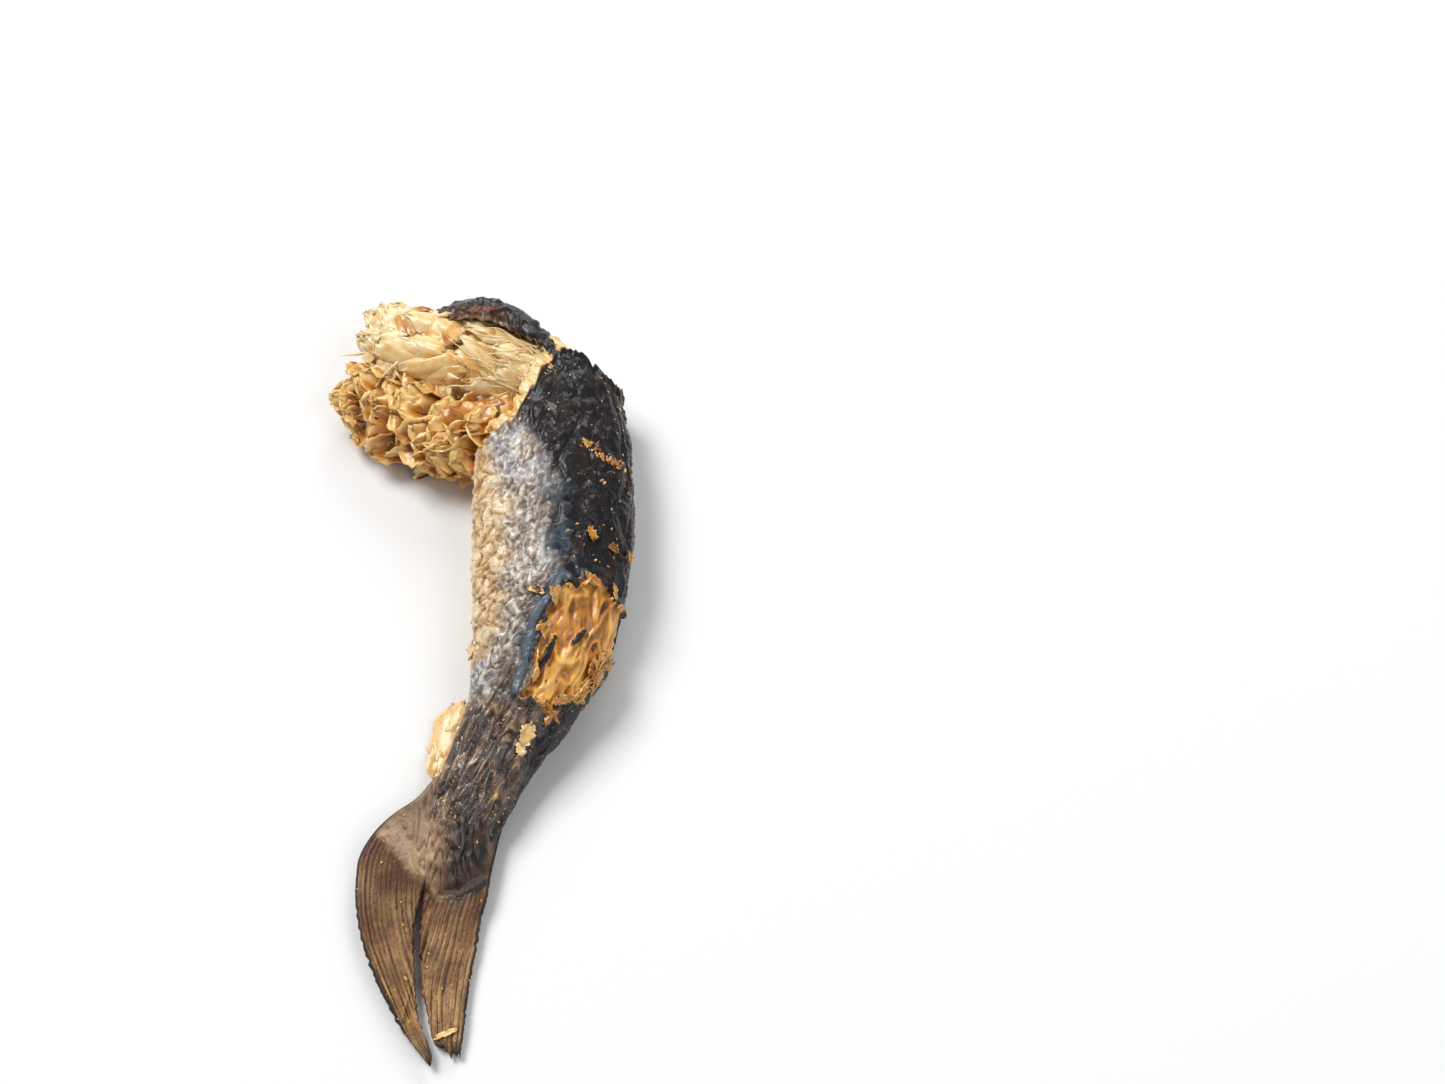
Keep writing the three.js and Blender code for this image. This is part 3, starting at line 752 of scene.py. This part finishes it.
def sheets(rng, spots, length, width, thick, tone, curl=-0.3, sag=-0.1, ragged=0.4, ruffle=0.1, ribs=0.0,
           root=0.0, spread=0.12, rows=15, columns=9):
    """Thin ragged flakes. spots holds their places, the ways they point and the ways their upper sides look.

    ribs is the height of fibres along a flake, root is how much darker its inner end is than its free end, as
    painted shade where the flake meets the meat, and spread is how much the flakes differ in tone.
    """
    places, forward, normal = spots
    count = len(places)
    length, width, thick, curl, sag = drawn(rng, count, length, width, thick, curl, sag)
    s, w = np.meshgrid(np.linspace(-1, 1, rows), np.linspace(-1, 1, columns), indexing="ij")
    s, w = s.ravel(), w.ravel()
    n = s.size
    side = np.cross(normal, forward)
    side /= np.linalg.norm(side, axis=1, keepdims=True)
    up = np.cross(forward, side)
    seeds = rng.uniform(0, 90, count)[:, None]

    def own_noise(x, y, seed):
        """Noise over every flake's grid, different on each flake."""
        grid = [np.broadcast_to(v, (count, n)) for v in (x, y, seeds)]
        return noise(np.stack(grid, 2).reshape(-1, 3), seed).reshape(count, n)

    edge_noise = own_noise(s * 3.52, w * 2.4, 141)
    end_noise = own_noise(s * 0.88, w * 4.8, 143)
    outline = np.clip(1 - np.abs(s) ** 3.5, 0, 1) ** 0.5
    y = w * outline * width / 2 * (1 + ragged * edge_noise * np.abs(w))
    x = s * length / 2 * (1 + ragged * end_noise * np.abs(s) ** 2)
    free = np.maximum(np.abs(w), s) ** 2
    lift = curl * y ** 2 / np.maximum(width, 0.1) * 2 + sag * x ** 2 / np.maximum(length, 0.1)
    lift += own_noise(s * 2.42, w * 2.4, 145) * ruffle * width * free * 2
    grooves = own_noise(x * 0.09, y * 0.5, 147)
    taper = np.clip(1 - np.maximum(np.abs(w), np.abs(s)) ** 5, 0.12, 1)
    parts = []
    for sign in (0.5, -0.5):
        z = lift + sign * thick * taper + (ribs * grooves if sign > 0 else 0)
        parts.append(places[:, None] + forward[:, None] * x[..., None] + side[:, None] * y[..., None]
                     + up[:, None] * z[..., None])
    points = np.concatenate(parts, 1).reshape(-1, 3)
    faces = (shell_faces(rows, columns)[None] + (np.arange(count) * 2 * n)[:, None, None]).reshape(-1, 4)
    # Painted shade: each flake's tone, spread at random, drops towards its inner end, where it meets the meat.
    level = tone + spread * rng.normal(size=(count, 1)) + root * (s - 0.4)[None]
    level = level + 0.35 * (np.maximum(np.abs(w), s) ** 6)[None] + 0.12 * edge_noise
    # Painted shade and highlight: lighter on the raised ribs, darker between them.
    level = level + 0.3 * np.sign(ribs) * grooves
    # Painted shade: the lower face is 0.25 darker than the upper.
    level = np.clip(np.concatenate([level, level - 0.25], 1), 0, 1.1).ravel()
    along = np.concatenate([x, x], 1).ravel()
    sideways = np.concatenate([y, y], 1).ravel()
    fibre = np.stack([along * 0.25, sideways * 1.6, np.repeat(seeds.ravel(), 2 * n)], 1)
    return points, faces, {"straight": points * MM, "fibre": fibre, "tone": level}


def strands(rng, spots, length, radius, arch, tone, segments=12, sides=6):
    """Thin tapered fibres that arch off the meat and wander sideways."""
    starts, directions, up = spots
    count = len(starts)
    length, radius, arch = (v[..., None] for v in drawn(rng, count, length, radius, arch))
    t = np.linspace(0, 1, segments)[None, :, None]
    side = np.cross(directions, up)
    side /= np.linalg.norm(side, axis=1, keepdims=True)
    sway = rng.normal(size=(count, 1, 1)) * 0.09 * length
    ripple = rng.uniform(0, 6.3, (count, 1, 1))
    spine = (starts[:, None] + directions[:, None] * t * length + up[:, None] * arch * np.sin(np.pi * t)
             + side[:, None] * (sway * np.sin(np.pi * t) + 0.02 * length * np.sin(9 * t + ripple)))
    girth = np.maximum(radius * (1 - 0.75 * np.abs(2 * t - 0.8) ** 1.5), 0.06)
    turn = np.linspace(0, 2 * np.pi, sides, endpoint=False)[None, None, :, None]
    ring = side[:, None, None] * np.cos(turn) + up[:, None, None] * np.sin(turn)
    points = (spine[:, :, None] + ring * girth[..., None]).reshape(-1, 3)
    last = (segments - 1) * sides
    ends = [[3, 2, 1, 0], [5, 4, 3, 0], [last, last + 1, last + 2, last + 3],
            [last, last + 3, last + 4, last + 5]]
    one = np.vstack([grid_faces(segments, sides, True), ends])
    faces = (one[None] + (np.arange(count) * segments * sides)[:, None, None]).reshape(-1, 4)
    level = np.repeat(np.clip(tone + 0.15 * rng.normal(size=count), 0, 1.1), segments * sides)
    return points, faces, {"straight": points * MM, "fibre": points * [0.3, 1.2, 1.2], "tone": level}


def dots(a, b):
    return np.einsum("ij,ij->i", a, b)[:, None]


def unit(vectors):
    return vectors / np.maximum(np.linalg.norm(vectors, axis=-1, keepdims=True), 1e-9)


def loft_places(loft, along, angle, grow=0.0):
    """Points on a loft with the way along it and the way out of it."""
    here, _ = loft.surface(along, angle, grow)
    ahead, _ = loft.surface(np.minimum(along + 0.5, loft.length), angle, grow)
    beside, _ = loft.surface(along, angle + 0.03, grow)
    forward = unit(ahead - here)
    normal = unit(np.cross(forward, beside - here))
    row, _ = loft.at(along)
    return here, forward, normal * np.sign(dots(normal, here - row[:, :3]))


def turned(forward, normal, angle):
    """forward turned about normal by an angle for each."""
    side = np.cross(normal, forward)
    return unit(forward * np.cos(angle)[:, None] + side * np.sin(angle)[:, None])


def tilted(forward, normal, angle):
    """forward and normal, tipped so that the front end rises by an angle."""
    c, s = np.cos(angle)[:, None], np.sin(angle)[:, None]
    return forward * c + normal * s, normal * c - forward * s


def strewn(loft, along, angle, grow, turn, tilt):
    """Places on a loft whose way forward is turned about the way out, then tipped up."""
    here, forward, normal = loft_places(loft, along, angle, grow)
    return (here, *tilted(turned(forward, normal, turn), normal, tilt))


# ---------------------------------------------------------------- the meat
def finish_meat(name, parts, material, char_size, char_seed, char_from, char_share):
    """Joins a block's parts, keeps them above the table and chars a few spots."""
    points, faces, attributes = join_parts(parts)
    points[:, 2] = np.maximum(points[:, 2], TABLE_GAP)
    spots = noise(points / char_size, char_seed)
    attributes["char"] = smooth_step(char_from, char_from + 0.08, spots) * char_share
    return make_piece(name, (points, faces, attributes), [material])


def block_core(loft, shrink, seed, squash, strength, tone, stop=0.02, rows=200, around=130):
    """The body of a meat block under its flakes, with fibres along it."""
    angle = 2 * np.pi * np.arange(around) / around
    along = np.repeat(np.linspace(0.02, loft.length - stop, rows), around)
    angles = np.tile(angle, rows)
    row, _ = loft.at(along)
    points, straight = loft.surface(along, angles, grow=-np.minimum(shrink, row[:, 3:].min(1) / 2))
    outward = unit(points - row[:, :3])
    stretched = warped(straight * [squash, 1, 1], 1.6, 4.5, seed)
    ridge = creases(stretched / 2.8, seed + 1, 1.0, 2.2)
    chunk = fractal(warped(straight, 3.0, 7.0, seed + 2) / 7.5, seed + 3, 2)
    height = strength * (0.7 * ridge + 2.0 * chunk)
    points = points + outward * (height * np.minimum(row[:, 3] / 3.0, 1))[:, None]
    closing = np.sqrt(np.clip((loft.length - stop - along) / 7, 0, 1))[:, None]
    points = row[:, :3] + (points - row[:, :3]) * closing
    points[:, 2] = np.maximum(points[:, 2], TABLE_GAP)
    # Painted shade and highlight: the tone rises on the ridges and lumps and falls in the hollows between
    # them.
    attributes = {"straight": straight * MM, "fibre": straight * [0.2, 1.1, 1.1],
                  "tone": tone + 0.45 * (ridge - 0.5) + 0.35 * chunk}
    return points, grid_faces(rows, around, True), attributes


def build_back_meat():
    rng = np.random.default_rng(21)
    loft = Loft(BACK_MEAT)
    # The core's tone, 0.55, is below its flakes', as painted shade in the gaps between them.
    parts = [block_core(loft, 1.6, 201, 0.3, 0.9, 0.55, 4.0)]
    heart = np.array([-6.0, 101.0, 27.0])

    def scatter(count, low, high, first, last, grow, turn, tilt, radial):
        """Places over the block, with ways that run partly along it and partly out from its heart."""
        along = rng.uniform(low, high, count) * loft.length
        here, forward, normal = loft_places(loft, along, rng.uniform(first, last, count), grow)
        away = unit(here - heart)
        away = unit(away - normal * dots(away, normal))
        forward = unit(forward * (1 - radial) + away * radial * np.sign(dots(away, forward) + 0.4))
        forward = turned(forward, normal, rng.normal(0, turn, count))
        return (here, *tilted(forward, normal, rng.uniform(*tilt, count)))

    # Broad waxy slabs, then narrow bundles of fibres over them.
    spots = scatter(46, 0.1, 0.84, -0.9, 3.9, -1.1, 0.3, (-0.08, 0.2), 0.5)
    parts.append(sheets(rng, spots, (13, 21), (8, 13), (2.0, 3.4), 0.66, -0.5, -0.1, 0.28, 0.05,
                        ribs=0.18, root=0.22, spread=0.1, rows=25, columns=19))
    spots = scatter(13, 0.05, 0.4, 0.4, 2.8, 0.1, 0.25, (-0.03, 0.1), 0.6)
    parts.append(sheets(rng, spots, (9, 18), (1.4, 3.0), (0.9, 1.5), 0.74, -0.5, -0.1, 0.35, 0.05,
                        rows=17, columns=9))
    # Ragged lobes hang from the front of the block, and jagged ones end it at the left.
    here, forward, normal = scatter(34, 0.12, 0.85, -0.35, 0.25, -0.6, 0.35, (0.0, 0.4), 0.2)
    down = unit(normal * 0.55 + [0, -0.5, -0.45])
    spots = here + down * 1.5, down, unit(np.cross(forward, down))
    parts.append(sheets(rng, spots, (4, 8), (3, 6.5), (0.8, 1.6), 0.72, 0.3, -0.2, 0.6, 0.14, ribs=0.2))
    spots = scatter(13, 0.78, 0.88, 0.2, 3.0, -0.8, 0.3, (0.0, 0.2), 0.1)
    parts.append(sheets(rng, spots, (9, 13), (5.5, 9), (1.0, 1.8), 0.72, -0.25, 0.0, 0.5, 0.12,
                        ribs=0.2, rows=21, columns=17))
    # Loose strands near the trunk, where the block was pulled out.
    spots = scatter(44, 0.02, 0.4, 0.5, 2.2, 0.7, 0.4, (0, 0.05), 0.6)
    parts.append(strands(rng, spots, (6, 14), (0.16, 0.34), (0.2, 1.2), 0.85))
    piece = finish_meat("back_meat_flakes", parts, PALE_MEAT, 1.3, 161, 0.8, 0.9)
    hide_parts("back_meat")


def build_belly_meat():
    rng = np.random.default_rng(22)
    loft = Loft(BELLY_MEAT)
    # The core's tone, 0.3, is well below its petals', as painted shade in the crevices and the hole between
    # them.
    parts = [block_core(loft, 3.4, 221, 0.6, 1.0, 0.3, 15.0, 150, 100)]
    # Thin petals whose free ends point away from the trunk, nested closer towards the far end.
    count = 74
    share = rng.beta(1.3, 1.0, count)
    along = 4 + share * (loft.length - 15)
    slim = np.interp(share, [0.6, 1], [1, 0.6])
    angle = rng.uniform(-0.9, 1.5, count) + np.where(share > 0.45, rng.uniform(0, 2.2, count), 0)
    here, forward, normal = strewn(loft, along, angle, -1.6, rng.normal(0.0, 0.35, count),
                                   rng.uniform(0.15, 0.6, count))
    parts.append(sheets(rng, (here + forward * 2.0, forward, normal), rng.uniform(13, 20, count) * slim,
                        rng.uniform(9, 15, count) * slim, rng.uniform(0.7, 1.3, count), 0.55, (-0.3, 0.7),
                        0.1, 0.28, 0.07, ribs=0.12, root=0.6, rows=23, columns=17))
    count = 20
    along, angle = np.full(count, loft.length - 17.0), np.linspace(-1.0, 4.2, count)
    here, forward, normal = strewn(loft, along, angle, -0.8, rng.normal(0.0, 0.15, count),
                                   rng.uniform(-0.35, -0.05, count))
    parts.append(sheets(rng, (here + forward * 4.5, forward, normal), (11, 15), (5, 8), (0.5, 0.9), 0.6,
                        (-0.5, 0.1), 0.1, 0.35, 0.1, ribs=0.2, root=0.35, rows=19, columns=13))
    # Clear blocks of meat nearer to the trunk.
    count = 36
    here, forward, normal = strewn(loft, rng.uniform(2, 32, count), rng.uniform(-0.8, 2.0, count), -0.8,
                                   rng.uniform(0, 6.3, count), rng.uniform(0.0, 0.9, count))
    parts.append(sheets(rng, (here + normal * 0.8, forward, normal), (8, 13), (6, 10), (2.4, 4.4), 0.42, -0.2,
                        0.0, 0.16, 0.02, root=0.22))
    # A lacy crust round the dark hole beside the trunk.
    count = 34
    turn = np.linspace(0, 2 * np.pi, count, endpoint=False)
    rim = np.stack([np.cos(turn), 0.75 * np.sin(turn), 0 * turn], 1)
    here = np.array([1.5, 81.5, 15.5]) + rim * rng.uniform(3.2, 5.6, (count, 1))
    here[:, 2] += rng.normal(0, 1, count)
    forward = unit(-rim * [1, 1, 0] + [0, 0, 0.9] + rng.normal(0, 0.3, (count, 3)))
    spots = here, forward, unit(np.cross(forward, np.cross(rim, forward)) + 1e-3)
    parts.append(sheets(rng, spots, (3, 5.5), (2.5, 4.5), (0.35, 0.6), 0.55, 0.5, 0.2, 0.7, 0.25,
                        root=0.4, rows=13, columns=9))
    piece = finish_meat("belly_meat_flakes", parts, AMBER_MEAT, 1.4, 163, 0.82, 0.8)
    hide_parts("belly_meat")


def build_ribs():
    """The few long pale fibres and the yellow petals that stick out between the two blocks."""
    rng = np.random.default_rng(23)
    ends = np.array([
        [[-28, 100, 18], [-45, 101.8, 12.5]], [[-19.5, 99, 22], [-34, 85.5, 13.5]],
        [[-20, 93.5, 19], [-27.5, 85.8, 14]], [[-26, 97, 17], [-37, 99.5, 14]],
        [[-13, 89, 19], [-11, 83.5, 16]]])
    starts, reach = ends[:, 0], ends[:, 1] - ends[:, 0]
    length = np.linalg.norm(reach, axis=1)
    up = np.tile([0.0, 0.25, 0.97], (len(ends), 1))
    fibres = strands(rng, (starts, reach / length[:, None], up), length, [0.6, 0.5, 0.45, 0.5, 0.3],
                     [0.5, 3.4, 1.0, 1.0, 1.2], 0.95, segments=18)
    count = 16
    turn = np.linspace(2.5, 3.5, count) + rng.normal(0, 0.12, count)
    forward = unit(np.stack([np.cos(turn), np.sin(turn), rng.uniform(-0.15, 0.3, count)], 1))
    here = np.array([-25.5, 100.5, 16.0]) + forward * 1.5 + rng.normal(0, 1, (count, 3)) * [1.5, 3.0, 1.5]
    normal = unit(np.array([0, -0.2, 1]) + rng.normal(0, 0.3, (count, 3)))
    petals = sheets(rng, (here, forward, normal), (8, 12), (2.5, 4), (0.8, 1.4), 0.55, -0.4, 0.0, 0.25, 0.1,
                    root=0.3)
    lumps = np.array([[5.5, 86.8, 19.5], [9.5, 88.3, 21], [13.5, 86, 22], [2.5, 87.6, 18.5]])
    forward = unit(np.array([[1, 0.3, 0], [1, -0.2, 0.1], [0.6, 1, 0], [1, 0.6, 0]]))
    yellow = sheets(rng, (lumps, forward, np.tile([0.0, -0.3, 1.0], (4, 1))), [8, 7, 8, 6], [5.5, 5, 5, 4],
                    3.4, 0.62, -0.3, -0.2, 0.25, 0.05, rows=21, columns=15)
    make_piece("yellow_petals", join_parts([petals, yellow]), [AMBER_MEAT])
    make_piece("pale_fibres", fibres, [PALE_MEAT])


# ---------------------------------------------------------------- torn skin behind the back block
FLAP_FRONT = np.array([[-18, 106.5, 22.5], [-12, 106.5, 25], [-5, 106.5, 28], [3, 105.5, 29], [10, 102.5, 29],
                       [16, 99, 28.6], [21, 95.5, 27.6], [24, 92.5, 26.5]], float)
FLAP_TOP = np.array([[-19, 109, 19], [-11, 112.5, 23.5], [-3, 114, 26], [4, 113.5, 27.4], [11, 110, 28],
                     [17, 105.5, 27.6], [23, 100, 26.2], [27, 95.5, 24.5]], float)
FLAP_BACK = np.array([[-17, 109.5, 11], [-10, 112, 10], [-3, 112.5, 9.5], [4, 111.5, 9.5], [11, 109, 10],
                      [18, 105.5, 10.5], [24, 101, 11], [29, 97, 12]], float)


def build_skin_strip():
    """A fold of the back's skin that still covers the far side of the back meat and curls over its top."""
    rows, columns = 150, 60
    s, w = np.meshgrid(np.linspace(0, 1, rows), np.linspace(0, 1, columns), indexing="ij")
    s, w = s.ravel(), w.ravel()
    front, top, back = (catmull_rom(line, s) for line in (FLAP_FRONT, FLAP_TOP, FLAP_BACK))
    weights = (1 - w) * (1 - 2 * w), 4 * w * (1 - w), w * (2 * w - 1)
    points = sum(line * share[:, None] for line, share in zip((front, top, back), weights))
    flat = np.stack([s * 9, w * 4, 0 * s], 1)
    normals = grid_normals(points, rows, columns, False)
    if normals[:, 1].sum() < 0:
        normals = -normals
    ruffle = 1.3 * noise(flat * [1.3, 0.7, 1], 153) * (1 - w) + 0.6 * noise(flat * [2.6, 1.6, 1], 155)
    sheet = np.stack([s * 48, w * 26, 0 * s], 1)
    wrinkles = 0.8 * creases(warped(sheet, 2.5, 6.0, 171) / 6.5, 173, 1.0, 2.2)
    wrinkles += 0.4 * creases(warped(sheet, 1.5, 4.0, 175) / 3.2, 177, 1.0, 2.8)
    points = points + normals * (ruffle + wrinkles - 0.5)[:, None]
    lean = 1.4 * noise(flat * [2.6, 0, 1], 151) * smooth_step(0.35, 0.0, w)
    points += np.array([0.2, -1.0, 0.4]) * lean[:, None]
    rim = np.minimum(np.minimum(s, 1 - s) * 30, np.minimum(w * 12, (1 - w) * 14))
    half = 0.45 * np.clip(rim, 0.15, 1) ** 0.5
    outer, inner = points + normals * half[:, None], points - normals * half[:, None]
    straight = np.stack([s * 48, w * 22, ruffle], 1) * MM
    edge = smooth_step(1.0, 0.2, rim) * smooth_step(-0.2, 0.3, noise(flat * [3, 3, 1], 157))
    # The lower face shows at the curled front edge, where the light catches it.
    curled = smooth_step(0.3, 0.12, w + 0.1 * noise(flat, 158))
    curled *= smooth_step(0.05, 0.16, s) * smooth_step(0.6, 0.42, s)
    attributes = {"straight": np.vstack([straight, straight]), "rim": np.concatenate([edge, edge]) * 0.7,
                  "inside": np.concatenate([curled, np.ones(len(s))])}
    shape = np.vstack([outer, inner]), shell_faces(rows, columns), attributes
    piece = make_piece("torn_skin_strip", shape, [TORN_SKIN])
    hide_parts("skin_strip")


# ---------------------------------------------------------------- loose flakes, tabs and crumbs
def build_loose_flake():
    rng = np.random.default_rng(24)
    places = np.array([[-6.6, -21.5, 4.6], [-8.2, -28, 4.2], [-4.5, -15.5, 5.2]])
    forward = unit(np.array([[-0.12, -1, -0.02], [-0.2, -1, 0.02], [-0.55, -1, -0.1]]))
    normal = unit(np.array([[-0.25, 0, 1], [-0.1, 0.1, 1], [-0.35, 0.1, 1]]))
    made = sheets(rng, (places, forward, normal), [20, 12, 11], [11.5, 6, 7.5], [2.0, 1.4, 1.5], 0.58,
                  np.array([-0.25, 0.2, -0.3]), -0.05, 0.36, 0.07, root=-0.1, spread=0.05, rows=44,
                  columns=26)
    made[2]["char"] = smooth_step(0.66, 0.8, noise(made[0] / 1.5, 165)) * 0.6
    piece = make_piece("loose_meat_flake", made, [PALE_MEAT])
    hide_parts("loose_flake")
    # Smaller flakes: two below the tear, one on the belly's rim, one by the folds and one on the fin's tip.
    here, _, normal = loft_places(TRUNK_LOFT, TRUNK_LOFT.along_at_y([-22.0, -26.0, -3.5, 15.6]),
                                  np.arccos([0.52, 0.56, -0.97, -0.12]), 0.7)
    here, normal = np.vstack([here, [-2.8, -110, 3.7]]), np.vstack([normal, [0, 0, 1]])
    forward = unit(np.array([[-0.3, -1, -0.3], [0.3, -1, -0.2], [0.5, 0.6, 1.0], [0.8, -0.3, 0.1],
                             [1, 0.4, 0.1]]))
    made = sheets(rng, (here, forward, normal), [7, 4, 5, 5, 7], [4.2, 2.6, 4.5, 1.6, 1.5], 0.6,
                  np.array([[0.6], [0.6], [0.6], [0.6], [0.25]]), 0.4, 0.2, 0.6, 0.12, rows=17, columns=11)
    make_piece("small_flakes", made, [PALE_MEAT])
    # Curled orange bits on the back, next to the tear.
    here, forward, normal = loft_places(TRUNK_LOFT, TRUNK_LOFT.along_at_y([34.4, 31.2, 30.9, 16.0]),
                                        np.arccos([0.5, 0.76, 0.95, -0.1]), 1.1)
    forward = turned(forward, normal, np.array([0.4, 1.3, 0.2, 0.9]))
    made = sheets(rng, (here, forward, normal), [4.6, 3.6, 3.6, 3.2], [2.2, 2.4, 1.8, 1.6], 0.6, 0.3, 0.7,
                  0.0, 0.6, 0.2, rows=17, columns=11)
    make_piece("orange_bits", made, [TEAR_MEAT])


def build_tear_tabs(points, normals, inside, angles):
    """Small ragged shreds of skin and meat that stand up along the tear, most of them on its lower border."""
    rng = np.random.default_rng(25)
    near = np.flatnonzero((np.abs(inside + 0.2) < 0.3) & (np.sin(angles) > -0.2))
    chance = np.where((points[near, 0] > 30) & (points[near, 1] < 12), 4.0, 1.0)
    chosen = rng.choice(near, 88, replace=False, p=chance / chance.sum())
    here, normal = points[chosen], normals[chosen]
    step = 0.5
    slope = np.stack([signed_distance(TEAR, here[:, :2] + d) - signed_distance(TEAR, here[:, :2] - d)
                      for d in np.eye(2) * step], 1)
    outward = unit(np.hstack([-slope, np.zeros((len(here), 1))]))
    forward = unit(np.cross(normal, outward))
    forward = turned(forward, normal, rng.normal(0, 0.45, len(chosen)))
    normal = unit(normal + outward * rng.uniform(-0.6, 0.9, (len(chosen), 1)))
    forward = unit(forward - normal * dots(forward, normal))
    made = sheets(rng, (here + normal * 0.2, forward, normal), (3, 7.5), (0.9, 2.4), (0.3, 0.6), 0.5,
                  (-0.6, 0.6), 0.1, 0.6, 0.2, rows=13, columns=7)
    make_piece("tear_tabs", made, [AMBER_MEAT])


def build_rim_lumps():
    """Pale meat that wells up along the torn front edge of the skin."""
    rng = np.random.default_rng(26)
    count = 70
    across = rng.uniform(-0.98, 0.35, count)
    y = np.interp(across, TORN_EDGE_ACROSS, TORN_EDGE_Y) + rng.uniform(0.2, 3.0, count)
    here, forward, normal = loft_places(TRUNK_LOFT, TRUNK_LOFT.along_at_y(y), np.arccos(across), -1.6)
    forward = turned(-forward, normal, rng.normal(0.5, 0.5, count))
    forward, normal = tilted(forward, normal, rng.uniform(-0.3, 0.2, count))
    made = sheets(rng, (here, forward, normal), (4, 9), (3, 6), (1.6, 3.2), 0.68, -0.4, -0.1, 0.3, 0.08,
                  ribs=0.2, rows=15, columns=11)
    made[2]["char"] = smooth_step(0.7, 0.84, noise(made[0] / 1.3, 167)) * 0.7
    make_piece("rim_meat", made, [PALE_MEAT])


def build_crumbs(points, normals, inside, fin_points):
    """Tiny golden crumbs stuck all over the skin, and the crusty line of them across the back."""
    rng = np.random.default_rng(27)
    chosen = rng.choice(len(points), 850, replace=False)
    chosen = chosen[(inside[chosen] < -1) & (points[chosen][:, 2] > 1)]
    ridge = catmull_rom(CRUMB_RIDGE, rng.uniform(0, 1, 50))[:, :2] + rng.normal(0, 0.6, (50, 2))
    upper = np.flatnonzero((points[:, 2] > 12) & (points[:, 1] > 50) & (points[:, 1] < 72))
    ridge = upper[((ridge[:, None] - points[None, upper, :2]) ** 2).sum(2).argmin(1)]
    everything = np.concatenate([chosen, ridge])
    on_fin = rng.choice(len(fin_points), 55, replace=False)
    place = np.vstack([points[everything], fin_points[on_fin]])
    count = len(place)
    normal = unit(np.vstack([normals[everything], np.tile([0.0, 0.0, 1.0], (len(on_fin), 1))]))
    forward = unit(np.cross(normal, rng.normal(size=(count, 3))))
    size = rng.lognormal(-0.75, 0.35, count)
    size[len(chosen):len(everything)] *= 2.2
    size = np.minimum(size, 1.3)
    made = sheets(rng, (place + normal * 0.1, forward, normal), size * 1.5, size * 0.7, size * 0.5, 0.5, 0.0,
                  0.0, 0.3, spread=0.25, rows=4, columns=4)
    make_piece("golden_crumbs", made, [AMBER_MEAT])


# ---------------------------------------------------------------- the set
FLOOR_HALF = 3.0
LIGHTS = [("key", (-1.5, 1.35, 2.7), 1.6, 94), ("fill", (2.1, -0.9, 2.4), 2.4, 31),
          ("back", (0.75, 2.7, 1.5), 1.5, 32)]  # name, place, side in metres and power in watts
CAMERA_TARGET = Vector((0.0755, 0.0392, 0.015))
CAMERA_UP = math.radians(65)
CAMERA_DISTANCE, CAMERA_LENS, CAMERA_SENSOR = 0.843, 70, 36


def build_set():
    """The pale floor, the white world, three soft lights and the photograph's view."""
    mesh = bpy.data.meshes.new("floor")
    corners = [(x * FLOOR_HALF, y * FLOOR_HALF, 0) for x, y in ((-1, -1), (1, -1), (1, 1), (-1, 1))]
    mesh.from_pydata(corners, [], [(0, 1, 2, 3)])
    material = bpy.data.materials.new("pale_floor")
    material.use_nodes = True
    shader = material.node_tree.nodes["Principled BSDF"]
    shader.inputs["Base Color"].default_value = (0.9, 0.9, 0.9, 1)
    shader.inputs["Roughness"].default_value = 0.9
    mesh.materials.append(material)
    floor = link("floor", mesh)

    world = bpy.data.worlds.new("studio")
    world.use_nodes = True
    background = world.node_tree.nodes["Background"]
    background.inputs["Color"].default_value = (1, 1, 1, 1)
    background.inputs["Strength"].default_value = 0.2
    bpy.context.scene.world = world
    for name, place, side, power in LIGHTS:
        light = bpy.data.lights.new(name, "AREA")
        light.size, light.energy = side, power
        lamp = link(name, light)
        lamp.location = place
        lamp.rotation_euler = (-Vector(place)).to_track_quat("-Z", "Y").to_euler()

    # The photograph's view: from 65 degrees above, towards the torn end, with the fish left of the middle.
    back = Vector((0, -math.cos(CAMERA_UP), math.sin(CAMERA_UP)))
    data = bpy.data.cameras.new("camera")
    data.lens, data.sensor_width = CAMERA_LENS, CAMERA_SENSOR
    camera = link("camera", data)
    camera.location = CAMERA_TARGET + back * CAMERA_DISTANCE
    camera.rotation_euler = (-back).to_track_quat("-Z", "Y").to_euler()
    bpy.context.scene.camera = camera
    bpy.context.scene.view_settings.view_transform = "Standard"


build_set()
skin_points, skin_normals, skin_angles, tear_inside = build_trunk()
fin_top = build_fin()
build_back_meat()
build_belly_meat()
build_ribs()
build_skin_strip()
build_loose_flake()
build_tear_tabs(skin_points, skin_normals, tear_inside, skin_angles)
build_rim_lumps()
build_crumbs(skin_points, skin_normals, tear_inside, fin_top)
